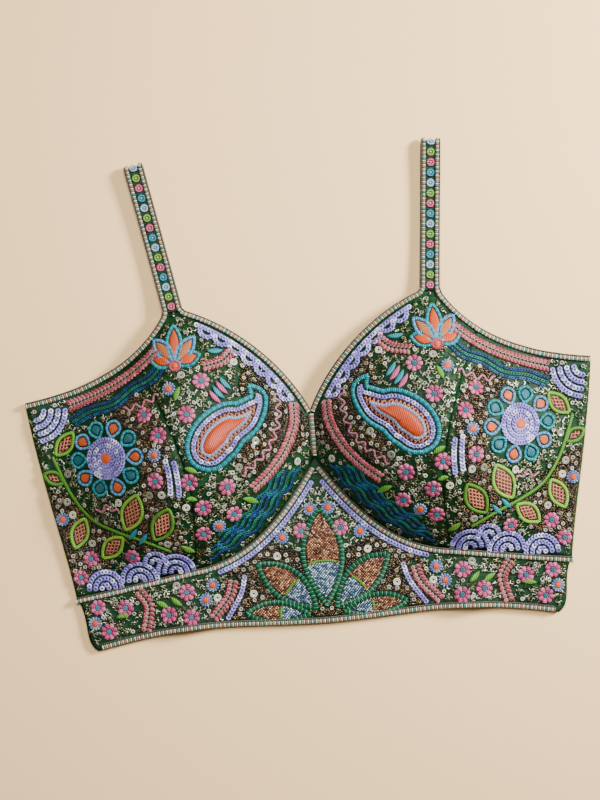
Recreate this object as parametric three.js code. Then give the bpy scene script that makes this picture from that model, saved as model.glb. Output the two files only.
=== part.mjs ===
// A sleeveless choli blouse with shoulder straps, laid flat on its back with the front up.
// Millimetres. X runs across the blouse, Y from the hem to the straps, Z up from the surface that it lies on.
// Left and right are the wearer's, so the left half is at +X. Seams and edges are drawn for the left half.
import * as THREE from "three";

// ---- Cloth ----
const BACK_CLOTH = 1.5; // silk and lining of the plain back
const FRONT_CLOTH = 2.4; // silk, foam and lining of the embroidered front
const STRAP_CLOTH = 1.8;
const SEAM_GAP = 0.3;
const FRONT_TOP = BACK_CLOTH + SEAM_GAP + FRONT_CLOTH; // the front's face where it lies on the back

// ---- The cups: a dome that runs out from the bust point ----
const BUST = { x: 98, y: -12, rise: 46 };
// reach is how far the dome runs in that direction, every 30 degrees from +X towards +Y.
// soft is 1 where it stops in a crease, as at the seam under the bust, and more where it runs out gently.
const CUP = [
  { reach: 102, soft: 1.8 },
  { reach: 98, soft: 1.8 },
  { reach: 96, soft: 1.6 },
  { reach: 122, soft: 1.3 },
  { reach: 116, soft: 1.3 },
  { reach: 112, soft: 1.25 },
  { reach: 102, soft: 1.1 },
  { reach: 85.5, soft: 1.0 },
  { reach: 82.8, soft: 1.0 },
  { reach: 87, soft: 1.05 },
  { reach: 104, soft: 1.4 },
  { reach: 106, soft: 1.8 },
];
// The low swells where the stiff cloth stands off the surface: at the hem, over the middle and by the side.
const SWELLS = [
  { x: 108, y: -152, rise: 6, wide: 17, long: 24 },
  { x: 0, y: -92, rise: 3, wide: 48, long: 36 },
  { x: 196, y: -38, rise: 2.2, wide: 14, long: 30 },
];

// ---- Seams and edges of the left half, as cubic curves ----
const cubic = (...points) => new THREE.CubicBezierCurve(...points.map(([x, y]) => new THREE.Vector2(x, y)));
const SPLIT = 0.375; // where the princess seam meets the armhole, as a share of the armhole's curve
const CUT = {
  centre: cubic([0, -21], [0, -9], [0, 3], [0, 15]),
  neckline: cubic([0, 15], [16, 50], [50, 84], [91.5, 99.5]),
  armhole: cubic([106, 98.2], [121, 67], [160, 47], [218, 39]),
  princess: cubic([99, -99], [86, -40], [96, 0], [132.8, 67]),
  underbust: cubic([0, -21], [24, -58], [54, -95], [99, -99]),
  underarm: cubic([99, -99], [130, -104], [160, -109], [191, -113]),
  side: cubic([191, -113], [199, -60], [213, -10], [218, 39]),
  hem: cubic([0, -148], [75, -147], [95, -138], [177, -155]),
  bandSide: cubic([177, -155], [189, -149], [181, -128], [191, -113]),
  backTop: cubic([0, -32], [80, -28], [150, 22], [217, 38]),
};
CUT.princess.v3.copy(CUT.armhole.getPoint(SPLIT));

// Steps of the panels' grids. Seams that meet have the same steps on both sides.
const STEPS = { centre: 5, neckline: 15, princess: 14, armhole: 6, inner: 14, outer: 13, band: 6 };

// ---- Straps and edging ----
// The strap sags from the cup to just over its own back stretch, and rises to a fold of that radius.
// It ends inside the back at that Y, after a stretch sewn to the back and a ramp up onto it.
const STRAP = { width: 15, front: 115, fold: 2.6, sag: 1.5, turnIn: 30, backEnd: -30, sewn: 30, ramp: 10 };
const LEAN = { left: 5.1, right: 10.6 }; // how far each strap leans outwards, in degrees
const EDGING = { width: 4.6, strapWidth: 3.8, height: 1.1, lift: 0.6 };
// The edging's section: a low ridge, from its outer edge at 0 to its inner edge at 1
const RIDGE = [
  { across: 0, up: 0 },
  { across: 1, up: 0 },
  { across: 0.75, up: 1 },
  { across: 0.25, up: 1 },
];

const lerp = (a, b, t) => a + (b - a) * t;

function between(a, b, c, d, t) {
  // Catmull-Rom value between b and c
  return b + 0.5 * t * (c - a + t * (2 * a - 5 * b + 4 * c - d + t * (3 * (b - c) + d - a)));
}

function dome(x, y) {
  const away = [x - BUST.x, y - BUST.y];
  const turn = ((Math.atan2(away[1], away[0]) / (2 * Math.PI)) * CUP.length + CUP.length) % CUP.length;
  const row = Math.floor(turn);
  const around = [11, 0, 1, 2].map((k) => CUP[(row + k) % CUP.length]);
  const value = (column) => between(...around.map((r) => r[column]), turn - row);
  const share = Math.hypot(...away) / value("reach");
  return share < 1 ? BUST.rise * (1 - share ** 2) ** value("soft") : 0;
}

function swell(x, y) {
  const away = (s) => ((x - s.x) / s.wide) ** 2 + ((y - s.y) / s.long) ** 2;
  return SWELLS.reduce((sum, s) => sum + s.rise * Math.exp(-away(s)), 0);
}

// Height of the front's face over the plan: on the band, and on the cups
const bandFace = (x, y) => FRONT_TOP + swell(Math.abs(x), y);
const cupFace = (x, y) => bandFace(x, y) + dome(Math.abs(x), y);

function normalOf(face, x, y) {
  const step = 0.5;
  const slopeX = (face(x + step, y) - face(x - step, y)) / (2 * step);
  const slopeY = (face(x, y + step) - face(x, y - step)) / (2 * step);
  return new THREE.Vector3(-slopeX, -slopeY, 1).normalize();
}

// The points of a curve, moved sideways: to the left of its direction where the shift is positive.
function sample(curve, steps, shift = 0, from = 0, to = 1) {
  return Array.from({ length: steps + 1 }, (_, k) => {
    const t = lerp(from, to, k / steps);
    const along = curve.getTangent(t).multiplyScalar(Math.sign(to - from));
    return curve.getPoint(t).add(new THREE.Vector2(-along.y, along.x).multiplyScalar(shift));
  });
}

// A grid of plan points inside four sides (a Coons patch). Bottom and top run along u, the others along v.
function patch(bottom, top, left, right) {
  const [nu, nv] = [bottom.length - 1, left.length - 1];
  return bottom.map((_, i) =>
    left.map((__, j) => {
      const [u, v] = [i / nu, j / nv];
      const value = (k) =>
        lerp(bottom[i][k], top[i][k], v) +
        lerp(left[j][k], right[j][k], u) -
        lerp(lerp(bottom[0][k], bottom[nu][k], u), lerp(top[0][k], top[nu][k], u), v);
      return new THREE.Vector2(value("x"), value("y"));
    }),
  );
}

// ---- Solids ----
function solid(points, faces) {
  // A closed mesh from its corners and faces, turned so that the faces point out
  const triangles = faces.flatMap((f) => f.slice(2).map((c, k) => [f[0], f[k + 1], c]));
  const volume = triangles.reduce((sum, [a, b, c]) => {
    return sum + points[a].dot(new THREE.Vector3().crossVectors(points[b], points[c]));
  }, 0);
  if (volume < 0) triangles.forEach((t) => t.reverse());
  const geometry = new THREE.BufferGeometry().setFromPoints(points);
  geometry.setIndex(triangles.flat());
  geometry.computeVertexNormals();
  return geometry;
}

// A wall of cloth under a face: the grid lifted onto the face, and the same points moved in by the thickness.
function wall(grid, face, thickness, side) {
  const [nu, nv] = [grid.length, grid[0].length];
  const outer = [];
  const inner = [];
  for (const { x, y } of grid.flat()) {
    const point = new THREE.Vector3(x, y, face(x, y));
    outer.push(point);
    inner.push(point.clone().addScaledVector(normalOf(face, x, y), -thickness));
  }
  const points = [...outer, ...inner].map((p) => p.setX(p.x * side));
  const at = (i, j, layer) => layer * nu * nv + i * nv + j;
  const faces = [];
  const quad = (a, b, layer) => {
    const ring = [at(...a, layer), at(b[0], a[1], layer), at(...b, layer), at(a[0], b[1], layer)];
    faces.push(layer ? ring.reverse() : ring);
  };
  for (let i = 0; i + 1 < nu; i++) {
    for (let j = 0; j + 1 < nv; j++) [0, 1].forEach((layer) => quad([i, j], [i + 1, j + 1], layer));
  }
  const rim = [
    ...Array.from({ length: nu }, (_, i) => [i, 0]),
    ...Array.from({ length: nv - 1 }, (_, j) => [nu - 1, j + 1]),
    ...Array.from({ length: nu - 1 }, (_, i) => [nu - 2 - i, nv - 1]),
    ...Array.from({ length: nv - 2 }, (_, j) => [0, nv - 2 - j]),
  ];
  rim.forEach((a, k) => {
    const b = rim[(k + 1) % rim.length];
    faces.push([at(...b, 0), at(...a, 0), at(...a, 1), at(...b, 1)]);
  });
  return solid(points, faces);
}

// A strip through closed sections that have the same number of corners, with flat ends
function strip(sections) {
  const size = sections[0].length;
  const points = sections.flat();
  const ends = [sections[0].map((_, k) => size - 1 - k), sections[0].map((_, k) => points.length - size + k)];
  const faces = [...ends];
  for (let s = 0; s + 1 < sections.length; s++) {
    for (let k = 0; k < size; k++) {
      const [a, b] = [s * size + k, s * size + ((k + 1) % size)];
      faces.push([a, b, b + size, a + size]);
    }
  }
  return solid(points, faces);
}

// ---- Materials ----
const SILK = new THREE.MeshStandardMaterial({ color: "#1c5a34", roughness: 0.6 });
const LINING_SILK = new THREE.MeshStandardMaterial({ color: "#1a4a2e", roughness: 0.75 });
const BEADED_EDGE = new THREE.MeshStandardMaterial({ color: "#c9bda4", roughness: 0.4, metalness: 0.2 });

const blouse = new THREE.Group();
blouse.name = "choli_blouse";

function add(name, geometry, material) {
  const mesh = new THREE.Mesh(geometry, material);
  mesh.name = name;
  blouse.add(mesh);
}

// ---- Front panels: an inner and an outer cup on each side, joined by the princess seam ----
const HALF_GAP = SEAM_GAP / 2;
const POINT = { inner: CUT.neckline.v3, outer: CUT.armhole.v0 }; // the cup's top, where the strap starts
const join = (a, b) => [...a, ...b.slice(1)];

// The corner that two sides share is moved in from both seams. Each side says which of its ends it is.
function turnCorner(first, a, second, b, seamPoint) {
  const moved = first.at(a).clone().add(second.at(b)).sub(seamPoint);
  first.splice(a, 1, moved);
  second.splice(b, 1, moved);
}

const innerBottom = sample(CUT.underbust, STEPS.inner, HALF_GAP);
const innerTop = Array.from({ length: STEPS.inner + 1 }, (_, i) => {
  return POINT.inner.clone().lerp(POINT.outer, i / STEPS.inner);
});
const centreAndNeck = join(sample(CUT.centre, STEPS.centre, -HALF_GAP), sample(CUT.neckline, STEPS.neckline));
const seamAndArm = join(
  sample(CUT.princess, STEPS.princess, HALF_GAP),
  sample(CUT.armhole, STEPS.armhole, 0, SPLIT, 0),
);
turnCorner(innerBottom, 0, centreAndNeck, 0, CUT.centre.v0);
turnCorner(innerBottom, -1, seamAndArm, 0, CUT.princess.v0);
const innerCup = patch(innerBottom, innerTop, centreAndNeck, seamAndArm);

const outerBottom = sample(CUT.underarm, STEPS.outer, HALF_GAP);
const outerSeam = sample(CUT.princess, STEPS.princess, -HALF_GAP);
const outerSide = sample(CUT.side, STEPS.princess);
turnCorner(outerBottom, 0, outerSeam, 0, CUT.princess.v0);
turnCorner(outerBottom, -1, outerSide, 0, CUT.side.v0);
const outerTop = join([outerSeam.at(-1)], sample(CUT.armhole, STEPS.outer, 0, SPLIT, 1));
const outerCup = patch(outerBottom, outerTop, outerSeam, outerSide);

// ---- The band under the bust, in one piece from side to side, with its peak between the cups ----
const bandTop = join(
  sample(CUT.underbust, STEPS.inner, -HALF_GAP),
  sample(CUT.underarm, STEPS.outer, -HALF_GAP),
);
bandTop[0].set(0, bandTop[0].y - HALF_GAP);
const bandEnd = sample(CUT.bandSide, STEPS.band);
bandEnd.splice(-1, 1, bandTop.at(-1));
const bandHem = sample(CUT.hem, STEPS.inner + STEPS.outer);
const toRight = (points) => points.map((p) => new THREE.Vector2(-p.x, p.y));
const bothHalves = (half) => join(toRight(half).reverse(), half);
const band = patch(bothHalves(bandHem), bothHalves(bandTop), toRight(bandEnd), bandEnd);

// ---- Edging: a beaded braid made from the panel's own rows of points, which run in from the edge ----
function walk(row, distance) {
  // The point at a distance along a row of points
  let [k, rest] = [0, distance];
  while (k + 2 < row.length && rest > row[k].distanceTo(row[k + 1])) {
    rest -= row[k].distanceTo(row[k + 1]);
    k++;
  }
  return row[k].clone().lerp(row[k + 1], rest / row[k].distanceTo(row[k + 1]));
}

// nearest keeps one half's braid clear of the other's at the centre line.
function edgingSections(rows, face, side, nearest = -Infinity) {
  const lifted = rows.map((row) => row.map(({ x, y }) => new THREE.Vector3(x, y, face(x, y))));
  return lifted.map((row, k) => {
    const before = lifted[Math.max(k - 1, 0)][0];
    const after = lifted[Math.min(k + 1, rows.length - 1)][0];
    const along = after.clone().sub(before).normalize();
    const inwards = row[1].clone().sub(row[0]).normalize();
    const reach = EDGING.width / inwards.cross(along).length();
    return RIDGE.map(({ across, up }) => {
      const point = walk(row, reach * across);
      point.addScaledVector(normalOf(face, point.x, point.y), EDGING.lift + EDGING.height * up);
      return point.setX(Math.max(point.x, nearest) * side);
    });
  });
}

// ---- Straps: from the cup's point to a fold at the shoulder, and back under to the inside of the back ----
function strapRoute(name, side) {
  const lean = THREE.MathUtils.degToRad(LEAN[name]);
  const along = new THREE.Vector2(Math.sin(lean), Math.cos(lean));
  const foot = POINT.inner.clone().add(POINT.outer).multiplyScalar(0.5);
  const footAcross = POINT.outer.clone().sub(POINT.inner).normalize();
  const footHeight = cupFace(foot.x, foot.y) - STRAP_CLOTH / 2;
  const low = STRAP_CLOTH / 2;
  const onBack = BACK_CLOTH + SEAM_GAP + low;
  const loop = STRAP.front - STRAP.fold;
  const end = (STRAP.backEnd - foot.y) / along.y;

  // The strap's middle from the side: distance from the cup's point, and height
  const front = new THREE.CubicBezierCurve(
    new THREE.Vector2(SEAM_GAP, footHeight),
    new THREE.Vector2(loop / 10, (footHeight + low) / 2),
    new THREE.Vector2(loop / 2, low + STRAP_CLOTH / 2 + STRAP.sag),
    new THREE.Vector2(loop, low + 2 * STRAP.fold),
  );
  const fold = new THREE.Path().absarc(loop, low + STRAP.fold, STRAP.fold, Math.PI / 2, -Math.PI / 2, true);
  const rampEnd = end + STRAP.sewn;
  const ramp = new THREE.CubicBezierCurve(
    new THREE.Vector2(rampEnd + STRAP.ramp, low),
    new THREE.Vector2(rampEnd + STRAP.ramp / 2, low),
    new THREE.Vector2(rampEnd + STRAP.ramp / 2, onBack),
    new THREE.Vector2(rampEnd, onBack),
  );
  const shown = [...front.getPoints(12), ...fold.getPoints(6).slice(1, 4)];
  const hidden = [...fold.getPoints(6).slice(4), ...ramp.getPoints(5), new THREE.Vector2(end, onBack)];
  const route = [...shown, ...hidden];

  // A corner of the strap's section at a step of the route
  const place = (k, sideways, up) => {
    const [before, after] = [route[Math.max(k - 1, 0)], route[Math.min(k + 1, route.length - 1)]];
    const run = after.clone().sub(before).normalize();
    const s = route[k].x - run.y * up;
    const square = k < shown.length ? Math.max(0, 1 - s / STRAP.turnIn) : 0; // at the cup, square to its edge
    const level = new THREE.Vector2(along.y, -along.x).lerp(footAcross, square).normalize();
    return new THREE.Vector3(
      side * (foot.x + along.x * s + level.x * sideways),
      foot.y + along.y * s + level.y * sideways,
      route[k].y + run.x * up,
    );
  };
  return { steps: route.length, shown: shown.length, place };
}

const rowsOf = (grid) => grid[0].map((_, j) => grid.map((column) => column[j]));
const inwardLeft = rowsOf(innerCup);
const inwardRight = rowsOf([...innerCup].reverse());

for (const [name, side] of [["left", 1], ["right", -1]]) {
  add(`cup_inner_${name}`, wall(innerCup, cupFace, FRONT_CLOTH, side), SILK);
  add(`cup_outer_${name}`, wall(outerCup, cupFace, FRONT_CLOTH, side), SILK);

  const { steps, shown, place } = strapRoute(name, side);
  const [half, thick] = [STRAP.width / 2, STRAP_CLOTH / 2];
  const corners = [[-half, -thick], [half, -thick], [half, thick], [-half, thick]];
  const strapSections = Array.from({ length: steps }, (_, k) => corners.map((corner) => place(k, ...corner)));
  add(`strap_${name}`, strip(strapSections), SILK);

  // The braid goes on from the cup up the strap's edge as far as the fold.
  const upStrap = (edge) =>
    Array.from({ length: shown }, (_, k) =>
      RIDGE.map(({ across, up }) =>
        place(k, edge * (half - EDGING.strapWidth * across), thick + EDGING.lift + EDGING.height * up),
      ),
    );
  const fromArmhole = outerCup.map((column) => [...column].reverse()).reverse();
  const armholeRows = [...fromArmhole, ...inwardRight.slice(STEPS.princess + 1, -1)];
  const armhole = edgingSections(armholeRows, cupFace, side);
  const neckline = edgingSections(inwardLeft.slice(STEPS.centre, -1), cupFace, side, HALF_GAP);
  add(`edging_neckline_${name}`, strip([...neckline, ...upStrap(-1)]), BEADED_EDGE);
  add(`edging_armhole_${name}`, strip([...armhole, ...upStrap(1)]), BEADED_EDGE);

  const underbustRows = band.slice(STEPS.inner + STEPS.outer).map((column) => [...column].reverse());
  const underbust = edgingSections(underbustRows, bandFace, side, HALF_GAP);
  add(`edging_underbust_${name}`, strip(underbust), BEADED_EDGE);
}

add("band_front", wall(band, bandFace, FRONT_CLOTH, 1), SILK);
add("edging_hem", strip(edgingSections(band.slice(1, -1), bandFace, 1)), BEADED_EDGE);

// The braid over the centre seam bridges the dip between the cups.
const CENTRE_EDGING = { top: 12, bottom: -19, steps: 5 };
add(
  "edging_centre",
  strip(
    Array.from({ length: CENTRE_EDGING.steps + 1 }, (_, k) => {
      const y = lerp(CENTRE_EDGING.bottom, CENTRE_EDGING.top, k / CENTRE_EDGING.steps);
      const foot = cupFace(EDGING.width / 2, y) + EDGING.lift;
      return RIDGE.map(({ across, up }) => {
        return new THREE.Vector3(EDGING.width * (across - 0.5), y, foot + EDGING.height * up);
      });
    }),
  ),
  BEADED_EDGE,
);

// ---- Back: two plain flat panels that meet at the centre back ----
const BACK_INSET = 0.6; // the back stays just inside the front's outline
for (const [name, side] of [["left", 1], ["right", -1]]) {
  const outline = [
    ...sample(CUT.hem, 6, BACK_INSET),
    ...sample(CUT.bandSide, 4, BACK_INSET).slice(1),
    ...sample(CUT.side, 5, BACK_INSET).slice(1),
    ...sample(CUT.backTop, 10, 0, 1, 0).slice(1),
  ];
  outline[0].x = HALF_GAP;
  outline.at(-1).x = HALF_GAP;
  const shape = new THREE.Shape(outline.map((p) => new THREE.Vector2(p.x * side, p.y)));
  const panel = new THREE.ExtrudeGeometry(shape, { depth: BACK_CLOTH, bevelEnabled: false });
  add(`back_${name}`, panel, LINING_SILK);
}

// The origin is under the middle of the whole blouse, on the surface.
const bounds = new THREE.Box3().setFromObject(blouse);
const middle = bounds.getCenter(new THREE.Vector3());
for (const mesh of blouse.children) mesh.geometry.translate(-middle.x, -middle.y, -bounds.min.z);

export default blouse;
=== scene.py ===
import math

import bpy
import numpy as np
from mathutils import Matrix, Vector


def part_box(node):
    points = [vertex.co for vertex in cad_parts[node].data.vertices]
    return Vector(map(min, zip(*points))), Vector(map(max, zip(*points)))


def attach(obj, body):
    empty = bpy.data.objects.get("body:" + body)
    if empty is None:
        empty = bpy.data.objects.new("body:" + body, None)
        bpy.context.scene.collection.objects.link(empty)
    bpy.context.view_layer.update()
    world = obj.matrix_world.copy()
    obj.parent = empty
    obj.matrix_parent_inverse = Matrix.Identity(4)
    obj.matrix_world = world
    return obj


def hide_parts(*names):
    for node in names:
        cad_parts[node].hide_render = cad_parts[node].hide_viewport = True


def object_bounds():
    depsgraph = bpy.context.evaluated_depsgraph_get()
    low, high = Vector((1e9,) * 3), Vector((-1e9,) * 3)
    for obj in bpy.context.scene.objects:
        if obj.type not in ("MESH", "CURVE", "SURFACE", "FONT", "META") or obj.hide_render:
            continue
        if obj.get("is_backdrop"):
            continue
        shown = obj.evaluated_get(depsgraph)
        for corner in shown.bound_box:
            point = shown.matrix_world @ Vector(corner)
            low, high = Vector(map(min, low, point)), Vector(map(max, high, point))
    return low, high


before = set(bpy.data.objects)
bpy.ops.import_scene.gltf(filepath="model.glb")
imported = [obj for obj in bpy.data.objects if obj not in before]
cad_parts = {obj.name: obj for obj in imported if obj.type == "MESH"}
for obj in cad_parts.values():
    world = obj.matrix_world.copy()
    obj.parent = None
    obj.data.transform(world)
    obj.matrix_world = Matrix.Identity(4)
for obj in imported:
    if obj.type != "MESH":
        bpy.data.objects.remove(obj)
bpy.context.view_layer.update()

# ---- The surface that it lies on, the lights and the camera ----
# A plain cream board in studio light. The key light is off the blouse's left side, with a dim wide fill and
# a top light.
# The camera looks straight down on the front, turned so that the blouse lies a little aslant.
MM = 0.001
FLOOR_SIZE, FLOOR_DROP = 8.0, 0.0002
LIGHTS = (  # name, place, width, power
    ("key_light", (0.95, 0.34, 0.66), 0.3, 38.0),
    ("fill_light", (-0.7, -0.2, 1.3), 1.6, 1.2),
    ("top_light", (-0.02, 0.3, 1.1), 0.35, 14.5),
)
AIR_COLOUR, AIR_STRENGTH = "#ffe8cc", 0.11
CAMERA_HEIGHT = 1.2
SHOWN_LENGTH = 0.616  # how much of the floor the long side of the view takes in
LENS = 70.0
VIEW_CENTRE = (-0.0073, -0.0062)
VIEW_TURN = math.radians(-4.8)


def linear(hex_colour):
    """An sRGB hex colour as the linear colour that shaders use."""
    parts = [int(hex_colour[k : k + 2], 16) / 255 for k in (1, 3, 5)]
    return (*(c / 12.92 if c <= 0.04045 else ((c + 0.055) / 1.055) ** 2.4 for c in parts), 1.0)


def add_node(material, kind, inputs=None, **settings):
    """A new node with its settings, and each named input set to a value or linked to an output."""
    tree = material.node_tree
    made = tree.nodes.new(kind)
    for name, value in settings.items():
        setattr(made, name, value)
    for name, value in (inputs or {}).items():
        if isinstance(value, bpy.types.NodeSocket):
            tree.links.new(value, made.inputs[name])
        else:
            made.inputs[name].default_value = value
    return made


def new_material(name, **sockets):
    """A material whose shader has these sockets set, and the shader."""
    material = bpy.data.materials.new(name)
    material.use_nodes = True
    shader = material.node_tree.nodes["Principled BSDF"]
    for socket, value in sockets.items():
        shader.inputs[socket.replace("_", " ")].default_value = value
    return material, shader


def feed(material, shader, **outputs):
    """Links each output to the shader's socket of that name."""
    for socket, output in outputs.items():
        material.node_tree.links.new(output, shader.inputs[socket.replace("_", " ")])


# Matt painted board: its soft mottling only keeps it from looking flat.
board, board_shader = new_material("painted_board_rolled", Roughness=0.9)
mottling = add_node(board, "ShaderNodeTexNoise", {"Scale": 3.0, "Detail": 3.0})
board_tint = add_node(
    board, "ShaderNodeMix",
    {0: mottling.outputs["Fac"], "A": linear("#ffd08e"), "B": linear("#ffdca6")},
    data_type="RGBA",
)
feed(board, board_shader, Base_Color=board_tint.outputs["Result"])
bpy.ops.mesh.primitive_plane_add(size=FLOOR_SIZE, location=(0, 0, -FLOOR_DROP))
floor = bpy.context.object
floor.name = "floor"
floor.data.materials.append(board)
floor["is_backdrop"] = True

for name, place, width, power in LIGHTS:
    lamp = bpy.data.lights.new(name, "AREA")
    lamp.energy = power
    lamp.size = width
    lamp_object = bpy.data.objects.new(name, lamp)
    lamp_object.location = place
    lamp_object.rotation_euler = (-lamp_object.location).to_track_quat("-Z", "Y").to_euler()
    bpy.context.collection.objects.link(lamp_object)
world = bpy.data.worlds.new("studio_air")
world.use_nodes = True
air = world.node_tree.nodes["Background"]
air.inputs["Color"].default_value = linear(AIR_COLOUR)
air.inputs["Strength"].default_value = AIR_STRENGTH
bpy.context.scene.world = world

camera_data = bpy.data.cameras.new("camera")
camera_data.lens = LENS
camera_data.sensor_width = SHOWN_LENGTH * LENS / CAMERA_HEIGHT
camera = bpy.data.objects.new("camera", camera_data)
camera.location = (*VIEW_CENTRE, CAMERA_HEIGHT)
camera.rotation_euler = (0, 0, VIEW_TURN)
bpy.context.collection.objects.link(camera)
bpy.context.scene.camera = camera

# ---- The back ----
# Two plain panels of the same green silk, lined, that lie flat on the floor under the front.
# They meet at the centre back, and each has a turned and stitched top edge.

# From here on sizes are millimetres in the blouse's own plan: X from the centre line, Y up to the straps.
# The outlines are the left half's, each a cubic curve through its first and last points.
CUP_TOP_Y = 99.5
PLAN_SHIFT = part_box("cup_inner_left")[1][1] / MM - CUP_TOP_Y
SIDES = (("left", 1), ("right", -1))
HEM = ((0, -148), (75, -147), (95, -138), (177, -155))
BAND_SIDE = ((177, -155), (189, -149), (181, -128), (191, -113))
SIDE = ((191, -113), (199, -60), (213, -10), (218, 39))
BACK_TOP = ((0, -32), (80, -28), (150, 22), (217, 38))
SEAM_GAP = 0.3
BACK_CLOTH = 1.5
BACK_INSET = 0.6
BACK_STEPS = 60
EDGE_ROLL, ROLL_REACH = 0.5, 2.0
RIPPLE = 0.12


def unit(arrows):
    """Arrows made one unit long."""
    return arrows / np.maximum(np.linalg.norm(arrows, axis=-1, keepdims=True), 1e-9)


def curve(corners, count, start=0.0, end=1.0):
    """Points along a cubic curve."""
    a, b, c, d = (np.array(p, float) for p in corners)
    t = np.linspace(start, end, count)[:, None]
    return (1 - t) ** 3 * a + 3 * (1 - t) ** 2 * t * b + 3 * (1 - t) * t**2 * c + t**3 * d


def left_of(path):
    """The unit direction to the left of a line at each of its points."""
    along = unit(np.gradient(path, axis=0))
    return np.column_stack([-along[:, 1], along[:, 0]])


def shift(path, distance):
    """A line moved to its left."""
    return path + left_of(path) * distance


def patch(bottom, top, left, right):
    """A grid of plan points inside four sides. Bottom and top run along its first axis."""
    u = np.linspace(0, 1, len(bottom))[:, None, None]
    v = np.linspace(0, 1, len(left))[None, :, None]
    across = (1 - v) * bottom[:, None] + v * top[:, None]
    up = (1 - u) * left[None] + u * right[None]
    corners = (1 - u) * ((1 - v) * bottom[0] + v * top[0]) + u * ((1 - v) * bottom[-1] + v * top[-1])
    return across + up - corners


def cloth_wall(high, low):
    """The points and faces of a closed sheet of cloth: the outer grid, the inner grid and the rim."""
    nu, nv = high.shape[:2]
    grid = np.arange(nu * nv).reshape(nu, nv)
    outer = np.stack([grid[:-1, :-1], grid[1:, :-1], grid[1:, 1:], grid[:-1, 1:]], -1).reshape(-1, 4)
    rim = np.concatenate([grid[:-1, 0], grid[-1, :-1], grid[:0:-1, -1], grid[0, :0:-1]])
    onward = np.roll(rim, -1)
    edge = np.stack([onward, rim, rim + nu * nv, onward + nu * nv], -1)
    points = np.concatenate([high.reshape(-1, 3), low.reshape(-1, 3)])
    return points, [np.concatenate([outer, outer[:, ::-1] + nu * nv, edge])]


def make_piece(name, points, faces, material, slot, side=1, dyes=None):
    """A mesh piece from plan points and groups of faces, mirrored where side is -1. It rides on root."""
    points = np.asarray(points, float) * (side * MM, MM, MM) + (0, PLAN_SHIFT * MM, 0)
    mesh = bpy.data.meshes.new(name)
    mesh.from_pydata(points.tolist(), [], [one for group in faces for one in group[:, ::side].tolist()])
    mesh.polygons.foreach_set("use_smooth", [True] * len(mesh.polygons))
    # The dye attribute holds each point's colour with painted light multiplied in: the painted shade and
    # painted highlights of its shape.
    if dyes is not None:
        dye = mesh.attributes.new("dye", "FLOAT_COLOR", "POINT")
        dye.data.foreach_set("color", np.asarray(dyes, np.float32).ravel())
    mesh.materials.append(material)
    piece = bpy.data.objects.new(name, mesh)
    bpy.context.collection.objects.link(piece)
    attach(piece, "root")
    return piece


def woven_silk(name, dark, light, roughness):
    """Dupion silk: a plain weave whose uneven weft leaves long thin slubs and a soft sheen across the cloth.
    The real threads are 0.2 mm apart; they are drawn 0.7 mm apart so that the weave shows."""
    material, shader = new_material(
        name, Roughness=roughness, Specular_IOR_Level=0.2,
        Sheen_Weight=0.06, Sheen_Roughness=0.4, Sheen_Tint=linear(light),
    )
    place = add_node(material, "ShaderNodeTexCoord").outputs["Object"]
    across = add_node(material, "ShaderNodeMapping", {"Vector": place, "Scale": (40, 900, 40)})
    slubs = add_node(
        material, "ShaderNodeTexNoise", {"Vector": across.outputs[0], "Scale": 1.0, "Detail": 4.0}
    ).outputs["Fac"]
    wave = {"Vector": place, "Scale": 1 / (0.7 * MM) / 20, "Distortion": 0.6}
    warp, weft = (
        add_node(material, "ShaderNodeTexWave", wave, bands_direction=way).outputs["Fac"] for way in "XY"
    )
    threads = add_node(material, "ShaderNodeMath", {0: warp, 1: weft}, operation="ADD").outputs[0]
    relief = add_node(material, "ShaderNodeMath", {0: threads, 1: slubs}, operation="ADD").outputs[0]
    spread = add_node(material, "ShaderNodeMapRange", {"Value": slubs, "From Min": 0.3, "From Max": 0.7})
    tint = add_node(
        material, "ShaderNodeMix", {0: spread.outputs[0], "A": linear(dark), "B": linear(light)},
        data_type="RGBA",
    )
    bump = add_node(material, "ShaderNodeBump", {"Height": relief, "Strength": 0.3, "Distance": 0.0003})
    feed(material, shader, Base_Color=tint.outputs["Result"], Normal=bump.outputs[0])
    return material


def from_ends(count, step):
    """How far each of a row of points is from the row's nearer end."""
    k = np.arange(count)
    return np.minimum(k, k[::-1]) * step


BACK_SILK = woven_silk("dupion_silk_plain_woven", "#0c3a22", "#17573a", 0.62)
for name, side in SIDES:
    bottom = shift(curve(HEM, BACK_STEPS), BACK_INSET)
    top = curve(BACK_TOP, BACK_STEPS)
    outside = shift(np.vstack([curve(BAND_SIDE, 14), curve(SIDE, 40)[1:]]), BACK_INSET)
    outside[0], outside[-1] = bottom[-1], top[-1]
    centre = np.linspace(bottom[0], top[0], len(outside))
    grid = patch(bottom, top, centre, outside)
    grid[0, :, 0] = SEAM_GAP / 2
    from_edge = np.minimum.outer(from_ends(BACK_STEPS, 3.5), from_ends(len(outside), 3.0))
    roll = EDGE_ROLL * np.exp(-from_edge / ROLL_REACH)
    ripple = RIPPLE * np.sin(grid[..., 0] / 11.0) * np.sin(grid[..., 1] / 17.0 + grid[..., 0] / 60.0)
    high = np.dstack([grid, BACK_CLOTH - roll + np.minimum(ripple, 0) * (from_edge > 0)])
    wall = cloth_wall(high, np.dstack([grid, roll]))
    back = make_piece(f"back_panel_{name}", *wall, BACK_SILK, "plain_silk", side)
    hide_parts(f"back_{name}")

# ---- The front: inner and outer cups, and the band under the bust ----
# Green silk over thin foam and lining, stiff with beads, so that the cups stand up as domes.
# An inner and an outer panel meet at the princess seam; the band is one piece with a peak between the cups.
FRONT_CLOTH = 2.4
FRONT_TOP = BACK_CLOTH + SEAM_GAP + FRONT_CLOTH
BUST_X, BUST_Y, BUST_RISE = 98, -12, 46
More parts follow.
